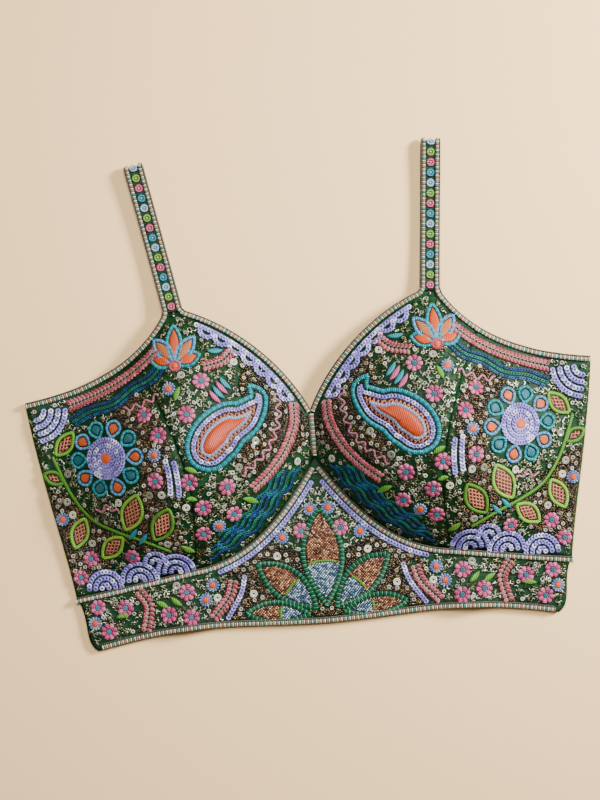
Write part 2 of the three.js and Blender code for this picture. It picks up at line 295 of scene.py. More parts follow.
# Every 30 degrees from +X towards +Y: how far the dome reaches, and how softly it runs out (1 is a crease)
CUP = np.array([
    (102, 1.8), (98, 1.8), (96, 1.6), (122, 1.3), (116, 1.3), (112, 1.25),
    (102, 1.1), (85.5, 1.0), (82.8, 1.0), (87, 1.05), (104, 1.4), (106, 1.8),
])
# Low swells where the stiff cloth stands off the floor: x, y, rise, width, length
SWELLS = ((108, -152, 6, 17, 24), (0, -92, 3, 48, 36), (196, -38, 2.2, 14, 30))
SPLIT = 0.375  # where the princess seam meets the armhole, as a share of the armhole's curve
CENTRE = ((0, -21), (0, -9), (0, 3), (0, 15))
NECKLINE = ((0, 15), (16, 50), (50, 84), (91.5, CUP_TOP_Y))
ARMHOLE = ((106, 98.2), (121, 67), (160, 47), (218, 39))
PRINCESS = ((99, -99), (86, -40), (96, 0), tuple(curve(ARMHOLE, 1, SPLIT, SPLIT)[0]))
UNDERBUST = ((0, -21), (24, -58), (54, -95), (99, -99))
UNDERARM = ((99, -99), (130, -104), (160, -109), (191, -113))
SEAM_LINE = np.vstack([curve(UNDERBUST, 60), curve(UNDERARM, 40)[1:]])
PRINCESS_LINE = curve(PRINCESS, 80)
SEAM_DIP, DIP_WIDTH = 0.8, 2.2
HALF_GAP = SEAM_GAP / 2
PUCKER = 0.25
LINING_SLACK = 0.1
SIDE_ROLL, SIDE_ROLL_REACH, SIDE_STEP = 1.0, 2.5, 2.4
MIRRORED = (-1, 1)


def spline(a, b, c, d, t):
    """A smooth way from b to c, a share t along it, where a comes before them and d after."""
    return b + 0.5 * t * (c - a + t * (2 * a - 5 * b + 4 * c - d + t * (3 * (b - c) + d - a)))


def face(x, y):
    """How high the front's face stands over the plan."""
    x = np.abs(x)
    away_x, away_y = x - BUST_X, y - BUST_Y
    turn = np.arctan2(away_y, away_x) / (2 * np.pi) * len(CUP) % len(CUP)
    row = np.floor(turn).astype(int)
    rows = [CUP[(row + k) % len(CUP)] for k in (-1, 0, 1, 2)]
    reach, softness = (spline(*(r[..., column] for r in rows), turn - row) for column in (0, 1))
    share = np.hypot(away_x, away_y) / reach
    dome = BUST_RISE * np.clip(1 - share**2, 0, None) ** softness
    on_cup = y > np.interp(x, SEAM_LINE[:, 0], SEAM_LINE[:, 1])
    off_seam = x - np.interp(y, PRINCESS_LINE[:, 1], PRINCESS_LINE[:, 0])
    dip = SEAM_DIP * np.exp(-((off_seam / DIP_WIDTH) ** 2))
    swell = sum(r * np.exp(-(((x - a) / w) ** 2) - ((y - b) / l) ** 2) for a, b, r, w, l in SWELLS)
    return FRONT_TOP + swell + np.where(on_cup, dome - dip, 0)


def out_of(x, y):
    """The direction straight out of the front's face."""
    step = 0.6
    slope_x = (face(x + step, y) - face(x - step, y)) / (2 * step)
    slope_y = (face(x, y + step) - face(x, y - step)) / (2 * step)
    return unit(np.stack([-slope_x, -slope_y, np.ones_like(slope_x)], -1))


def front_panel(name, node, grid, side, rolled_end=False):
    """A front panel: its face, slightly puckered by the needlework, and its lining a wall's thickness in."""
    x, y = grid[..., 0], grid[..., 1]
    out = out_of(x, y)
    pucker = PUCKER * (np.sin(x / 1.9 + 2 * np.sin(y / 4.1)) * np.sin(y / 2.3 + 2 * np.sin(x / 5.3)) - 1)
    high = np.dstack([grid, face(x, y)]) + out * pucker[..., None]
    thick = FRONT_CLOTH - LINING_SLACK + pucker
    if rolled_end:
        from_side = np.arange(len(grid))[::-1, None] * SIDE_STEP
        roll = SIDE_ROLL * np.exp(-from_side / SIDE_ROLL_REACH)
        high[..., 2] -= roll
        thick -= roll
    wall = cloth_wall(high, high - out * thick[..., None])
    panel = make_piece(name, *wall, FRONT_SILK, "embroidered_silk", side)
    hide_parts(node)


FRONT_SILK = woven_silk("dupion_silk_quilted_over_foam", "#020f06", "#053d17", 0.6)
inner_grid = patch(
    shift(curve(UNDERBUST, 50), HALF_GAP),
    np.linspace(NECKLINE[3], ARMHOLE[0], 50),
    np.vstack([curve(CENTRE, 19) + (HALF_GAP, 0), curve(NECKLINE, 65)[1:]]),
    np.vstack([shift(curve(PRINCESS, 60), HALF_GAP), curve(ARMHOLE, 24, SPLIT, 0)[1:]]),
)
outer_grid = patch(
    shift(curve(UNDERARM, 48), HALF_GAP),
    curve(ARMHOLE, 48, SPLIT, 1),
    shift(curve(PRINCESS, 66), -HALF_GAP),
    curve(SIDE, 66),
)
for name, side in SIDES:
    front_panel(f"inner_cup_{name}", f"cup_inner_{name}", inner_grid, side)
    front_panel(f"outer_cup_{name}", f"cup_outer_{name}", outer_grid, side, rolled_end=True)
half_seam = np.vstack([shift(curve(UNDERBUST, 50), -HALF_GAP), shift(curve(UNDERARM, 36), -HALF_GAP)[1:]])
half_seam[0] = (0, -21 - SEAM_GAP)
half_hem = curve(HEM, 85)
band_end = curve(BAND_SIDE, 24)
band_end[-1] = half_seam[-1]
band_grid = patch(
    np.vstack([half_hem[:0:-1] * MIRRORED, half_hem]),
    np.vstack([half_seam[:0:-1] * MIRRORED, half_seam]),
    band_end * MIRRORED,
    band_end,
)
front_panel("underbust_band", "band_front", band_grid, 1)

# ---- The straps ----
# One narrow strip of the same silk on each side, faced, from the cup's point over the shoulder to the back.
# Laid down, it folds at the shoulder and its plain back stretch lies under it.
STRAP_CLOTH = 1.8
STRAP_WIDTH = 15
STRAP_FRONT, STRAP_FOLD, STRAP_SAG, STRAP_TURN_IN = 115, 2.6, 1.5, 30
STRAP_BACK_END, STRAP_SEWN, STRAP_RAMP = -30, 30, 10
LEAN = {"left": math.radians(5.1), "right": math.radians(10.6)}
STRAP_FOOT = (np.array(NECKLINE[3]) + ARMHOLE[0]) / 2
FOOT_ACROSS = unit(np.array(ARMHOLE[0]) - NECKLINE[3])
# The corners of its section, as shares of half its width and half its thickness
STRAP_EDGE = ((-1, -0.5), (-0.9, -1), (0.9, -1), (1, -0.5), (1, 0.5), (0.9, 1), (-0.9, 1), (-1, 0.5))


def strap_route(name):
    """The strap's middle from the side, as distance from the cup's point and height, and its fold's end."""
    low = STRAP_CLOTH / 2
    foot = float(face(*STRAP_FOOT)) - low
    loop = STRAP_FRONT - STRAP_FOLD
    sag = ((SEAM_GAP, foot), (loop / 10, (foot + low) / 2), (loop / 2, 2 * low + STRAP_SAG))
    front = curve((*sag, (loop, low + 2 * STRAP_FOLD)), 70)
    turn = np.linspace(np.pi / 2, -np.pi / 2, 15)[1:]
    fold = np.column_stack([np.cos(turn), 1 + np.sin(turn)]) * STRAP_FOLD + (loop, low)
    end = (STRAP_BACK_END - STRAP_FOOT[1]) / math.cos(LEAN[name])
    ramp, on_back = end + STRAP_SEWN, BACK_CLOTH + SEAM_GAP + low
    half_way = ramp + STRAP_RAMP / 2
    climb = curve(((ramp + STRAP_RAMP, low), (half_way, low), (half_way, on_back), (ramp, on_back)), 12)
    under = np.linspace((loop, low), climb[0], 40)[1:-1]
    sewn = np.linspace(climb[-1], (end, on_back), 12)[1:]
    return np.vstack([front, fold, under, climb, sewn]), len(front) + len(turn) // 2


def strap_points(name, route, sideways, lift):
    """Points on a strap, at those distances to its outer side and out of its middle."""
    run = unit(np.gradient(route, axis=0))
    s = route[:, 0] - run[:, 1] * lift
    lean = np.array((math.sin(LEAN[name]), math.cos(LEAN[name])))
    facing_up = run[:, 0] > -0.2
    square = (np.clip(1 - s / STRAP_TURN_IN, 0, 1) * facing_up)[:, None]
    level = unit((1 - square) * (lean[1], -lean[0]) + square * FOOT_ACROSS)
    plan = STRAP_FOOT + s[:, None] * lean + level * sideways
    return np.column_stack([plan, route[:, 1] + run[:, 0] * lift])


def tube_faces(rings, corners):
    """The faces of a run of rings, with its ends capped."""
    grid = np.arange(rings * corners).reshape(rings, corners)
    onward = np.roll(grid, -1, axis=1)
    sides = np.stack([grid[:-1], onward[:-1], onward[1:], grid[1:]], -1).reshape(-1, 4)
    return [sides, grid[:1, ::-1], grid[-1:]]


def distances(path):
    """How far along a line each of its points is."""
    return np.concatenate([[0], np.cumsum(np.linalg.norm(np.diff(path, axis=0), axis=1))])


for name, side in SIDES:
    route, shown = strap_route(name)
    lines = [strap_points(name, route, STRAP_WIDTH / 2 * a, STRAP_CLOTH / 2 * b) for a, b in STRAP_EDGE]
    points = np.stack(lines, 1).reshape(-1, 3)
    faces = tube_faces(len(route), len(STRAP_EDGE))
    strap = make_piece(f"shoulder_strap_{name}", points, faces, FRONT_SILK, "embroidered_silk", side)
    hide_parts(f"strap_{name}")

# ---- The cloth left for needlework ----
# Beads, sequins and thread are sewn by hand through silk and foam, over outlines drawn on each panel.
# Each motif covers its own cloth, and the grounds are sewn last, on what is still bare.
BARE_STEP = 0.5
BARE_CORNER = (-6.0, -164.0)
bare = np.zeros((464, 540), bool)  # which parts of the left half are still uncovered, every half millimetre
EDGING_WIDTH = 4.6


def cells(points):
    """Where plan points fall in the map of bare cloth."""
    found = np.round((np.asarray(points)[:, :2] - BARE_CORNER) / BARE_STEP).astype(int)
    return np.clip(found[:, 0], 0, bare.shape[0] - 1), np.clip(found[:, 1], 0, bare.shape[1] - 1)


def inside(outline, points):
    """Which of the points lie inside a closed outline."""
    found = np.zeros(len(points), bool)
    x, y = points[:, 0], points[:, 1]
    for (ax, ay), (bx, by) in zip(outline, np.roll(outline, -1, axis=0)):
        crosses = (ay > y) != (by > y)
        found ^= crosses & (x < (bx - ax) * (y - ay) / (by - ay + 1e-12) + ax)
    return found


def fill_map(outline, state):
    """Marks the cloth inside a closed outline as bare or covered."""
    i, j = np.meshgrid(*(np.arange(n) for n in bare.shape), indexing="ij")
    middles = np.column_stack([i.ravel(), j.ravel()]) * BARE_STEP + BARE_CORNER
    bare.ravel()[inside(outline, middles)] = state


def respace(path, count, columns=None):
    """A line's points, or other columns that go with them, at so many even steps."""
    far = distances(path)
    where = np.linspace(0, far[-1], count)
    columns = path if columns is None else columns
    return np.column_stack([np.interp(where, far, column) for column in columns.T])


def densify(path, step):
    """A line with points at about that step."""
    return respace(path, max(2, int(distances(path)[-1] / step) + 1))


def cover(points, width):
    """Marks the cloth under a line of stitches as covered."""
    reach = max(1, int(round(width / 2 / BARE_STEP)))
    i, j = cells(densify(points, 0.4))
    for a in range(-reach, reach + 1):
        for b in range(-reach, reach + 1):
            if a * a + b * b <= reach * reach + 1:
                bare[np.clip(i + a, 0, bare.shape[0] - 1), np.clip(j + b, 0, bare.shape[1] - 1)] = False


cup_outline = np.vstack([
    SEAM_LINE, curve(SIDE, 30)[1:], curve(ARMHOLE, 50, 1, 0)[1:],
    curve(NECKLINE, 50, 1, 0), curve(CENTRE, 12, 1, 0),
])
fill_map(cup_outline, True)
fill_map(np.vstack([[(0, -148)], curve(HEM, 50)[1:], curve(BAND_SIDE, 20)[1:], SEAM_LINE[::-1]]), True)
for edge, width in (  # the edgings, the raw sides and the princess seam stay clear
    (curve(NECKLINE, 60), 2 * EDGING_WIDTH + 2.4),
    (curve(ARMHOLE, 60), 2 * EDGING_WIDTH + 2.4),
    (shift(SEAM_LINE, -EDGING_WIDTH / 2), EDGING_WIDTH + 2),
    (curve(HEM, 50), 2 * EDGING_WIDTH + 1.6),
    (curve(CENTRE, 12), EDGING_WIDTH + 1),
    (np.vstack([curve(BAND_SIDE, 20), curve(SIDE, 30)]), 3.0),
    (PRINCESS_LINE, 1.6),
):
    cover(edge, width)

# ---- Sequins sewn in overlapping rows ----
# Small cupped discs of lilac film, each held by a stitch through its middle and lying on the one before.
# They edge the neckline in scallops, fill the fans and the rosette, and outline the leaves.
SEQUIN_SIZE, SMALL_SEQUIN, SEQUIN_STEP = 4.5, 4.2, 2.6
rng = np.random.default_rng(7)


def heading(angle):
    """The plan direction at an angle, in radians, or one for each angle."""
    return np.stack([np.cos(angle), np.sin(angle)], -1)


def ring(centre, radius, count=40, start=0.0, sweep=360.0):
    """Points round a circle, or an arc of it, in degrees."""
    return np.asarray(centre) + radius * heading(np.radians(start + np.linspace(0, sweep, count)))


def line_from(start, degrees, length, bend=0.0, count=24):
    """A line of that length from a point, bending to its left by some degrees by its end."""
    steps = heading(np.radians(degrees + np.linspace(0, bend, count))) * length / (count - 1)
    return np.asarray(start, float) + np.vstack([[0, 0], np.cumsum(steps[:-1], axis=0)])


def raised(path, lift=0.0):
    """Plan points lifted onto the cloth, and then off it."""
    x, y = path[:, 0], path[:, 1]
    return np.column_stack([path, face(x, y)]) + out_of(x, y) * lift


def spots_from(at, up, step):
    """Spots along a raised line at an even step: where each is, the way the line runs, and the way out."""
    count = max(2, int(round(distances(at)[-1] / step)) + 1)
    place, out = respace(at, count), respace(at, count, up)
    return place, unit(np.gradient(place, axis=0)), unit(out)


def along_cloth(path, step, lift=0.0):
    """Spots at an even step along a line on the cloth."""
    dense = densify(np.asarray(path, float), 0.8)
    return spots_from(raised(dense, lift), out_of(dense[:, 0], dense[:, 1]), step)


def ring_solid(profile, corners):
    """A closed ring with that section: radius, height and shade for each of its rounds. The shade is painted
    light, a factor on the colour: painted shade below 1, a painted highlight above 1.
    """
    way = heading(np.linspace(0, 2 * np.pi, corners, endpoint=False))
    points = np.concatenate([np.column_stack([r * way, np.full(corners, z)]) for r, z, _ in profile])
    shade = np.repeat([s for *_, s in profile], corners)
    grid = np.arange(len(profile) * corners).reshape(len(profile), corners)
    onward = np.roll(grid, -1, axis=1)
    faces = np.stack([grid, onward, np.roll(onward, -1, axis=0), np.roll(grid, -1, axis=0)], -1)
    return points, [faces.reshape(-1, 4)], shade


def disc_solid(profile, corners, top=None, foot=(-0.05, 0.5)):
    """A closed disc: the same rounds, then the height and shade of its middle on top and underneath. Unless
    its foot says otherwise, its underside is painted at half its colour as painted shade.
    """
    points, (sides,), shade = ring_solid(profile, corners)
    top = top or profile[-1][1:]
    k, last = np.arange(corners), len(points)
    onward, inner = (k + 1) % corners, last - corners
    over = np.column_stack([k + inner, onward + inner, np.full(corners, last)])
    under = np.column_stack([onward, k, np.full(corners, last + 1)])
    points = np.vstack([points, (0, 0, top[0]), (0, 0, foot[0])])
    return points, [sides[:-corners], over, under], np.append(shade, (top[1], foot[1]))


# A sequin's rounds as shares of its radius: the rim, the crown, and the middle. Their shades are painted
# light:
# the crown is painted brighter as a painted highlight, the rim darker as painted shade, and the middle, where
# the hole and its stitch are, is closed over and painted nearly black as painted shade in the hole.
SEQUIN = disc_solid(((1.0, 0.0, 0.8), (0.72, 0.24, 1.25), (0.44, 0.12, 0.8), (0.36, 0.05, 0.06)), 10)


def dyed_film(name, roughness, painted_sheen):
    """Stamped polyester film with a pearl coat: smooth. Towards its edges its colour is mixed with a paler
    one as a painted sheen.
    """
    material, shader = new_material(name, Roughness=roughness, Coat_Weight=0.3, Coat_Roughness=0.15, IOR=1.5)
    dye = add_node(material, "ShaderNodeAttribute", attribute_name="dye")
    # Painted sheen: the colour turns paler where the film faces away from the view.
    facing = add_node(material, "ShaderNodeLayerWeight", {"Blend": 0.25})
    tint = add_node(
        material, "ShaderNodeMix",
        {0: facing.outputs["Facing"], "A": dye.outputs["Color"], "B": linear(painted_sheen)},
        data_type="RGBA",
    )
    feed(material, shader, Base_Color=tint.outputs["Result"])
    return material


def dyed(*hex_colours):
    """The linear colours of some hex colours, one row each."""
    return np.array([linear(c) for c in hex_colours])


def some_of(dyes, count):
    """So many of the dyes, picked at random."""
    return dyes[rng.integers(0, len(dyes), count)]


def turned(one, other, angle):
    """Two directions square to each other, turned by an angle from the first towards the second."""
    return one * np.cos(angle) + other * np.sin(angle), other * np.cos(angle) - one * np.sin(angle)


class Needlework:
    """One kind of stitch or bead that is made up as one piece: its points, faces and dyes."""

    def __init__(self):
        self.points, self.faces, self.dyes, self.count = [], [], [], 0

    def add(self, points, faces, dyes):
        """Adds points, faces that count from the first of them, and a dye for each point."""
        self.points.append(points.reshape(-1, 3))
        self.dyes.append(dyes.reshape(-1, 4))
        self.faces += [f + self.count for f in faces]
        self.count += len(self.points[-1])

    def sew(self, copy, spots, size, dyes, turn=0.0, tip=0.0):
        """Sews a copy of a small thing at each spot, turned about the way out and tipped up in front."""
        shape, faces, shade = copy
        at, along, out = spots
        n = len(at)
        across = np.cross(out, along)
        turn, tip = (np.broadcast_to(angle, n)[:, None] for angle in (turn, tip))
        along, across = turned(along, across, turn)
        along, out = turned(along, out, tip)
        local = shape * np.broadcast_to(size, (n, 3))[:, None]
        shaded = np.empty((n, len(shape), 4))
        # Painted light: each point's dye is multiplied by its shape's shade, so the dye attribute carries
        # painted shade and painted highlights.
        shaded[..., :3] = np.broadcast_to(dyes, (n, 4))[:, None, :3] * shade[:, None]
        shaded[..., 3] = local[..., 0]
        start = np.arange(n)[:, None, None] * len(shape)
        copies = [(start + f).reshape(-1, f.shape[1]) for f in faces]
        self.add(at[:, None] + local @ np.stack([along, across, out], 1), copies, shaded)

    def cord(self, spots, width, height, dye, twist=0.0, rib=0.0, corners=6):
        """A run of thread or cord that lies on the cloth. rib is how deep its turns are."""
        at, along, out = (part[:, None] for part in spots)
        n = len(at)
        angle = np.linspace(0, 2 * np.pi, corners, endpoint=False)[:, None]
        beat = 1 - rib * (np.arange(n) % 2)[:, None, None]
        side = np.cos(angle) * np.cross(out, along) * np.broadcast_to(width, n)[:, None, None] / 2 * beat
        rise = (np.sin(angle) + 0.5) * out * height / 2 * beat
        dyes = np.empty((n, corners, 4))
        dyes[:] = np.broadcast_to(dye, (n, 4))[:, None]
        dyes[..., 3] = distances(spots[0])[:, None] + np.cos(angle[:, 0]) * twist
        self.add(at + side + rise + np.cos(angle) * along * twist, tube_faces(n, corners), dyes)

    def finish(self, name, material, sides=SIDES, slot="embroidered_silk", node=None):
        """Makes up the piece, on each side, and puts it in the place of a node."""
        points, dyes = np.concatenate(self.points), np.concatenate(self.dyes)
        for side_name, side in sides:
            ending = side_name and f"_{side_name}"
            piece = make_piece(name + ending, points, self.faces, material, slot, side, dyes)
            if node:
                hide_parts(node + ending)


def sequin_row(work, path, size=SEQUIN_SIZE):
    """A row of overlapping sequins, each tipped up on the one before."""
    spots = along_cloth(path, SEQUIN_STEP, lift=0.9)
    work.sew(SEQUIN, spots, size / 2, some_of(LILACS, len(spots[0])), tip=0.32)
    cover(path, size)


# Lilac sequin film, with a paler painted sheen towards each sequin's edges.
LILAC_FILM = dyed_film("pearl_film_sequins_stamped_painted_sheen", 0.34, "#a398e2")
LILACS = dyed("#7065b4", "#8277c6", "#6056a2", "#988dd8", "#766bbc", "#cfcce6")
neck_sequins = Needlework()
inner_neck = shift(curve(NECKLINE, 90), -(EDGING_WIDTH + 2.9))
hung_from = densify(inner_neck[12:78], 11.8)
for a, b in zip(hung_from[:-1], hung_from[1:]):
    towards = math.degrees(math.atan2(*(b - a)[::-1]))
    sequin_row(neck_sequins, ring((a + b) / 2, 5.8, 14, towards - 180, 180), SMALL_SEQUIN)
sequin_row(neck_sequins, densify(inner_neck[12:80], 2.0))
neck_sequins.finish("neckline_scallop_sequins", LILAC_FILM)

FANS = ((113, 0, 13.5), (141, 0, 13.5), (168, 0, 12.5), (127, 11, 8.0))  # along the seam, up from it, radius
CORNER_FAN = (211, 32)
SHORT_ROWS = ((104, -15), (110, -13))
fans = Needlework()
for x, up, radius in FANS:
    y = np.interp(x, SEAM_LINE[:, 0], SEAM_LINE[:, 1]) + 2.4 + up
    for inner in np.arange(radius, 2, -4.9):
        sequin_row(fans, ring((x, y), inner, 24, 0, 180), SMALL_SEQUIN)
for radius in (7, 12.5, 18, 23.5):
    sequin_row(fans, ring(CORNER_FAN, radius, 30, 183, 82 - radius / 4))
for start in SHORT_ROWS:
    sequin_row(fans, line_from(start, 258, 24, bend=18))
fans.finish("side_fan_sequins", LILAC_FILM)

# ---- The lotus at the cup's point ----
# Five padded petals in orange and peach satin stitch, each edged with turquoise or blue buttonhole stitch.
# A pink rimmed knot covers the place where they meet.
# The rounds of a cushion of padding: its share of the outline and of the height
PADDING = ((1.0, 0.0), (0.93, 0.6), (0.6, 0.92), (0.25, 1.0))
PADDING_DEPTH = 0.4


def bar_shape(sections):
    """A bar that lies across a line, from its sections: place along it, half thickness and height."""
    points, shade = [], []
    for y, half, height in sections:
        points += [(-half, y, 0), (-half * 0.7, y, height), (half * 0.7, y, height), (half, y, 0)]
        # Painted shade: each bar's lower edges are painted at half its colour, its top at full colour.
        shade += [0.5, 1.0, 1.0, 0.5]
    return np.array(points), tube_faces(len(sections), 4), np.array(shade)


BAR = bar_shape(((-0.5, 0.3, 0.25), (-0.36, 0.46, 0.85), (0.36, 0.46, 0.85), (0.5, 0.3, 0.25)))


def stitched_thread(name, roughness, sheen):
    """Rayon floss laid in satin stitch: bright threads side by side, 0.4 mm apart. The dark lines between
    them are painted shade in the colour, beside the bump, and the threads are painted a little darker than
    their dye.
    They are drawn 1.4 mm apart so that they show."""
    material, shader = new_material(name, Roughness=roughness, Sheen_Weight=sheen, Specular_IOR_Level=0.32)
    dye = add_node(material, "ShaderNodeAttribute", attribute_name="dye")
    turns = add_node(
        material, "ShaderNodeMath", {0: dye.outputs["Alpha"], 1: 2 * math.pi / 1.4}, operation="MULTIPLY"
    )
    thread = add_node(material, "ShaderNodeMath", {0: turns.outputs[0]}, operation="SINE")
    # Painted shade: the colour is multiplied down to 0.32 in the grooves between threads and to 0.86 on their
    # crowns.
    depth = add_node(
        material, "ShaderNodeMapRange",
        {"Value": thread.outputs[0], "From Min": -1.0, "From Max": 0.2, "To Min": 0.32, "To Max": 0.86},
    )
    shaded = add_node(
        material, "ShaderNodeMix", {0: 1.0, "A": dye.outputs["Color"], "B": depth.outputs[0]},
        data_type="RGBA", blend_type="MULTIPLY",
    )
    bump = add_node(
        material, "ShaderNodeBump", {"Height": thread.outputs[0], "Strength": 0.5, "Distance": 0.0003}
    )
    feed(material, shader, Base_Color=shaded.outputs["Result"], Normal=bump.outputs[0])
    return material


FLOSS = stitched_thread("rayon_floss_satin_stitched", 0.42, 0.04)


def winding(outline):
    """1 where a closed outline turns to the left, and -1 where it turns to the right."""
    onward = np.roll(outline, -1, axis=0)
    return int(np.sign(np.sum(outline[:, 0] * onward[:, 1] - onward[:, 0] * outline[:, 1])))


def leaf(spine, width, fullest=0.5, count=36, plump=0.85):
    """The closed outline of a leaf or petal about its spine. fullest is how far along it is widest.
    The lower plump is, the rounder its ends are."""
    middle = respace(np.asarray(spine, float), count)
    t = np.linspace(0, 1, count) ** (math.log(0.5) / math.log(fullest))
    side = left_of(middle) * (width / 2 * np.sin(np.pi * t).clip(0) ** plump)[:, None]
    return np.vstack([middle + side, (middle - side)[-2:0:-1]])


def inset(outline, distance):
    """A closed outline moved inwards."""
    along = unit(np.roll(outline, -1, axis=0) - np.roll(outline, 1, axis=0))
    moved = outline + np.column_stack([-along[:, 1], along[:, 0]]) * winding(outline) * distance
    clear = np.linalg.norm(moved[:, None] - outline[None], axis=2).min(1) > 0.92 * distance
    return moved[inside(outline, moved) & clear]


def all_round(outline):
    """A closed outline with its first point again at its end."""
    return np.vstack([outline, outline[:1]])


def padded_fill(work, outline, height, dye, lay=0.0, lift=0.5):
    """Padded satin stitch over a shape: a low cushion. lay is the way its threads run, in degrees."""
    middle = outline.mean(0)
    rows = [raised(middle + (outline - middle) * share, lift + height * rise) for share, rise in PADDING]
    ends = [raised(middle[None], z) for z in (lift + height, lift - PADDING_DEPTH)]
    points = np.vstack(rows + ends)
    n, last = len(outline), len(PADDING) * len(outline)
    dyes = np.tile(dye, (len(points), 1))
    # Painted shade: the cushion's outer round, where it meets the cloth, is painted at half its colour.
    dyes[:n, :3] *= 0.5
    dyes[:, 3] = points[:, :2] @ heading(math.radians(lay + 90))
    k = np.arange(n)
    onward = (k + 1) % n
    faces = [np.column_stack([k, onward, onward + n, k + n]) + n * row for row in range(len(PADDING) - 1)]
    faces.append(np.column_stack([k + last - n, onward + last - n, np.full(n, last)]))
    faces.append(np.column_stack([onward, k, np.full(n, last + 1)]))
    work.add(points, [f[:, :: winding(outline)] for f in faces], dyes)
    fill_map(outline, False)


def in_turn(dyes, count):
    """So many of the dyes, one after another."""
    return dyes[np.arange(count) % len(dyes)]


def barred_rim(work, path, width, dyes, step=1.45, height=1.5):
    """Buttonhole stitch over a cord: bars side by side across a line, in turn in each colour."""
    spots = along_cloth(path, step, lift=0.3)
    work.sew(BAR, spots, (step, width, height), in_turn(dyes, len(spots[0])))
    cover(path, width + 0.6)


TURQUOISE = dyed("#12a0ae", "#1fb4c4", "#0d8699")
SKY = dyed("#5aa3dc", "#468fcb", "#78b9ea")
PINK_KNOT = dyed("#c8546c", "#b8445e")
ORANGE, DEEP_ORANGE, PEACH = dyed("#dd5f2c"), dyed("#cf4c12"), dyed("#b8683c")
LOTUS_FOOT, LOTUS_HEART = (98.5, 57.0), (98.5, 56.5)
lotus, lotus_rims = Needlework(), Needlework()
for degrees, length, dye, rim in (
    (90, 31, DEEP_ORANGE, TURQUOISE), (122, 26, PEACH, SKY), (58, 26, PEACH, SKY),
    (152, 20, DEEP_ORANGE, TURQUOISE), (28, 20, DEEP_ORANGE, TURQUOISE),
):
    petal = leaf(line_from(LOTUS_FOOT, degrees, length, bend=(degrees - 90) * 0.25), 10.5, 0.55)
    padded_fill(lotus, inset(petal, 1.6), 1.2, dye, lay=degrees + 60)
    barred_rim(lotus_rims, all_round(petal), 2.6, rim)
barred_rim(lotus_rims, ring(LOTUS_HEART, 3.6, 24), 2.0, PINK_KNOT, step=1.2, height=2.4)
padded_fill(lotus, ring(LOTUS_HEART, 2.8, 16)[:-1], 2.2, ORANGE)
lotus.finish("lotus_petals", FLOSS)
lotus_rims.finish("lotus_rims", FLOSS)

# ---- The paisley on the inner cup ----
# A curled drop: a turquoise buttonhole rim, a line of lilac sequins and a net of peach thread inside it,
# and in the middle a smaller drop of padded orange satin stitch with a pale blue rim.
NET_PEACH, MAROON = dyed("#d98b66"), dyed("#3c0f0c")
FLAME = dyed("#c8440e")
PALE_BLUES = dyed("#8aa2d4", "#b4c4e6")


def smooth_line(corners, count=60, closed=False):
    """A smooth line through a few points."""
    p = np.asarray(corners, float)
    last = len(p) - 1
    t = np.linspace(0, last + closed, count, endpoint=not closed)
    row = np.minimum(t.astype(int), last - 1 + closed)
    near = [(row + k) % len(p) if closed else np.clip(row + k, 0, last) for k in (-1, 0, 1, 2)]
    return spline(*p[np.array(near)], (t - row)[:, None])


def netting(work, outline, spacing, ways, width=0.95):
    """Peach threads crossed into a net over a shape and couched down, with the silk showing between."""
    for angle in np.radians(ways):
        along, across = heading(angle), heading(angle + np.pi / 2)
        run, reach = outline @ along, outline @ across
        for offset in np.arange(reach.min() + spacing / 2, reach.max(), spacing):
            points = np.arange(run.min(), run.max(), 0.8)[:, None] * along + offset * across
            thread = points[inside(outline, points)]
            if len(thread) > 2:
                work.cord(along_cloth(thread, 2.4, lift=0.35), width, 0.7, NET_PEACH, corners=4)


def flat_ground(work, outline, dye):
    """A thin flat layer of thread that fills a shape under a net."""
    padded_fill(work, outline, 0.15, dye, lay=20, lift=0.2)


paisley = leaf(smooth_line(((80, -22), (76, -5), (64, 8), (49, 15), (39, 28), (45, 38)), 80), 36, 0.3, 60)
paisley_rim, paisley_satin, paisley_sequins, nets = (Needlework() for _ in range(4))
barred_rim(paisley_rim, all_round(paisley), 3.4, TURQUOISE, step=1.5)
sequin_row(paisley_sequins, all_round(inset(paisley, 4.6)), 3.8)
netting(nets, inset(paisley, 6.6), 2.7, (35, 95))
flat_ground(nets, inset(paisley, 6.0), MAROON)
drop = inset(paisley, 10.6)
barred_rim(paisley_rim, all_round(drop), 2.6, PALE_BLUES, step=1.3)
padded_fill(paisley_satin, inset(drop, 0.8), 2.0, FLAME, lay=70, lift=0.8)
paisley_rim.finish("paisley_rim", FLOSS)
paisley_satin.finish("paisley_satin", FLOSS)
paisley_sequins.finish("paisley_sequins", LILAC_FILM)

# ---- The rosette on the outer cup ----
# Rounds of overlapping lilac sequins about an orange satin boss, inside a ring of ten small padded petals.
# The petals are orange and teal in turn, with blue and turquoise buttonhole rims.
ROSETTE = (156, -8)
DARK_TEAL = dyed("#0e6c78")
rosette_sequins, rosette_rims, rosette_fill = (Needlework() for _ in range(3))
for radius in (5.6, 9.8, 14.0):
    sequin_row(rosette_sequins, ring(ROSETTE, radius), 4.7)
for k, foot in enumerate(ring(ROSETTE, 16.4, 11)[:-1]):
    petal = leaf(line_from(foot, 36 * k, 12.5), 11.0, 0.58, 24, plump=0.62)
    barred_rim(rosette_rims, all_round(petal), 2.2, SKY if k % 2 else TURQUOISE, step=1.3, height=1.3)
    padded_fill(rosette_fill, inset(petal, 1.9), 0.8, ORANGE if k % 2 else DARK_TEAL, lay=36 * k)
padded_fill(rosette_fill, ring(ROSETTE, 4.2, 24)[:-1], 1.6, ORANGE, lay=40)
cover(all_round(ring(ROSETTE, 10)), 22)
rosette_sequins.finish("rosette_sequins", LILAC_FILM)
rosette_rims.finish("rosette_rims", FLOSS)
rosette_fill.finish("rosette_satin", FLOSS)

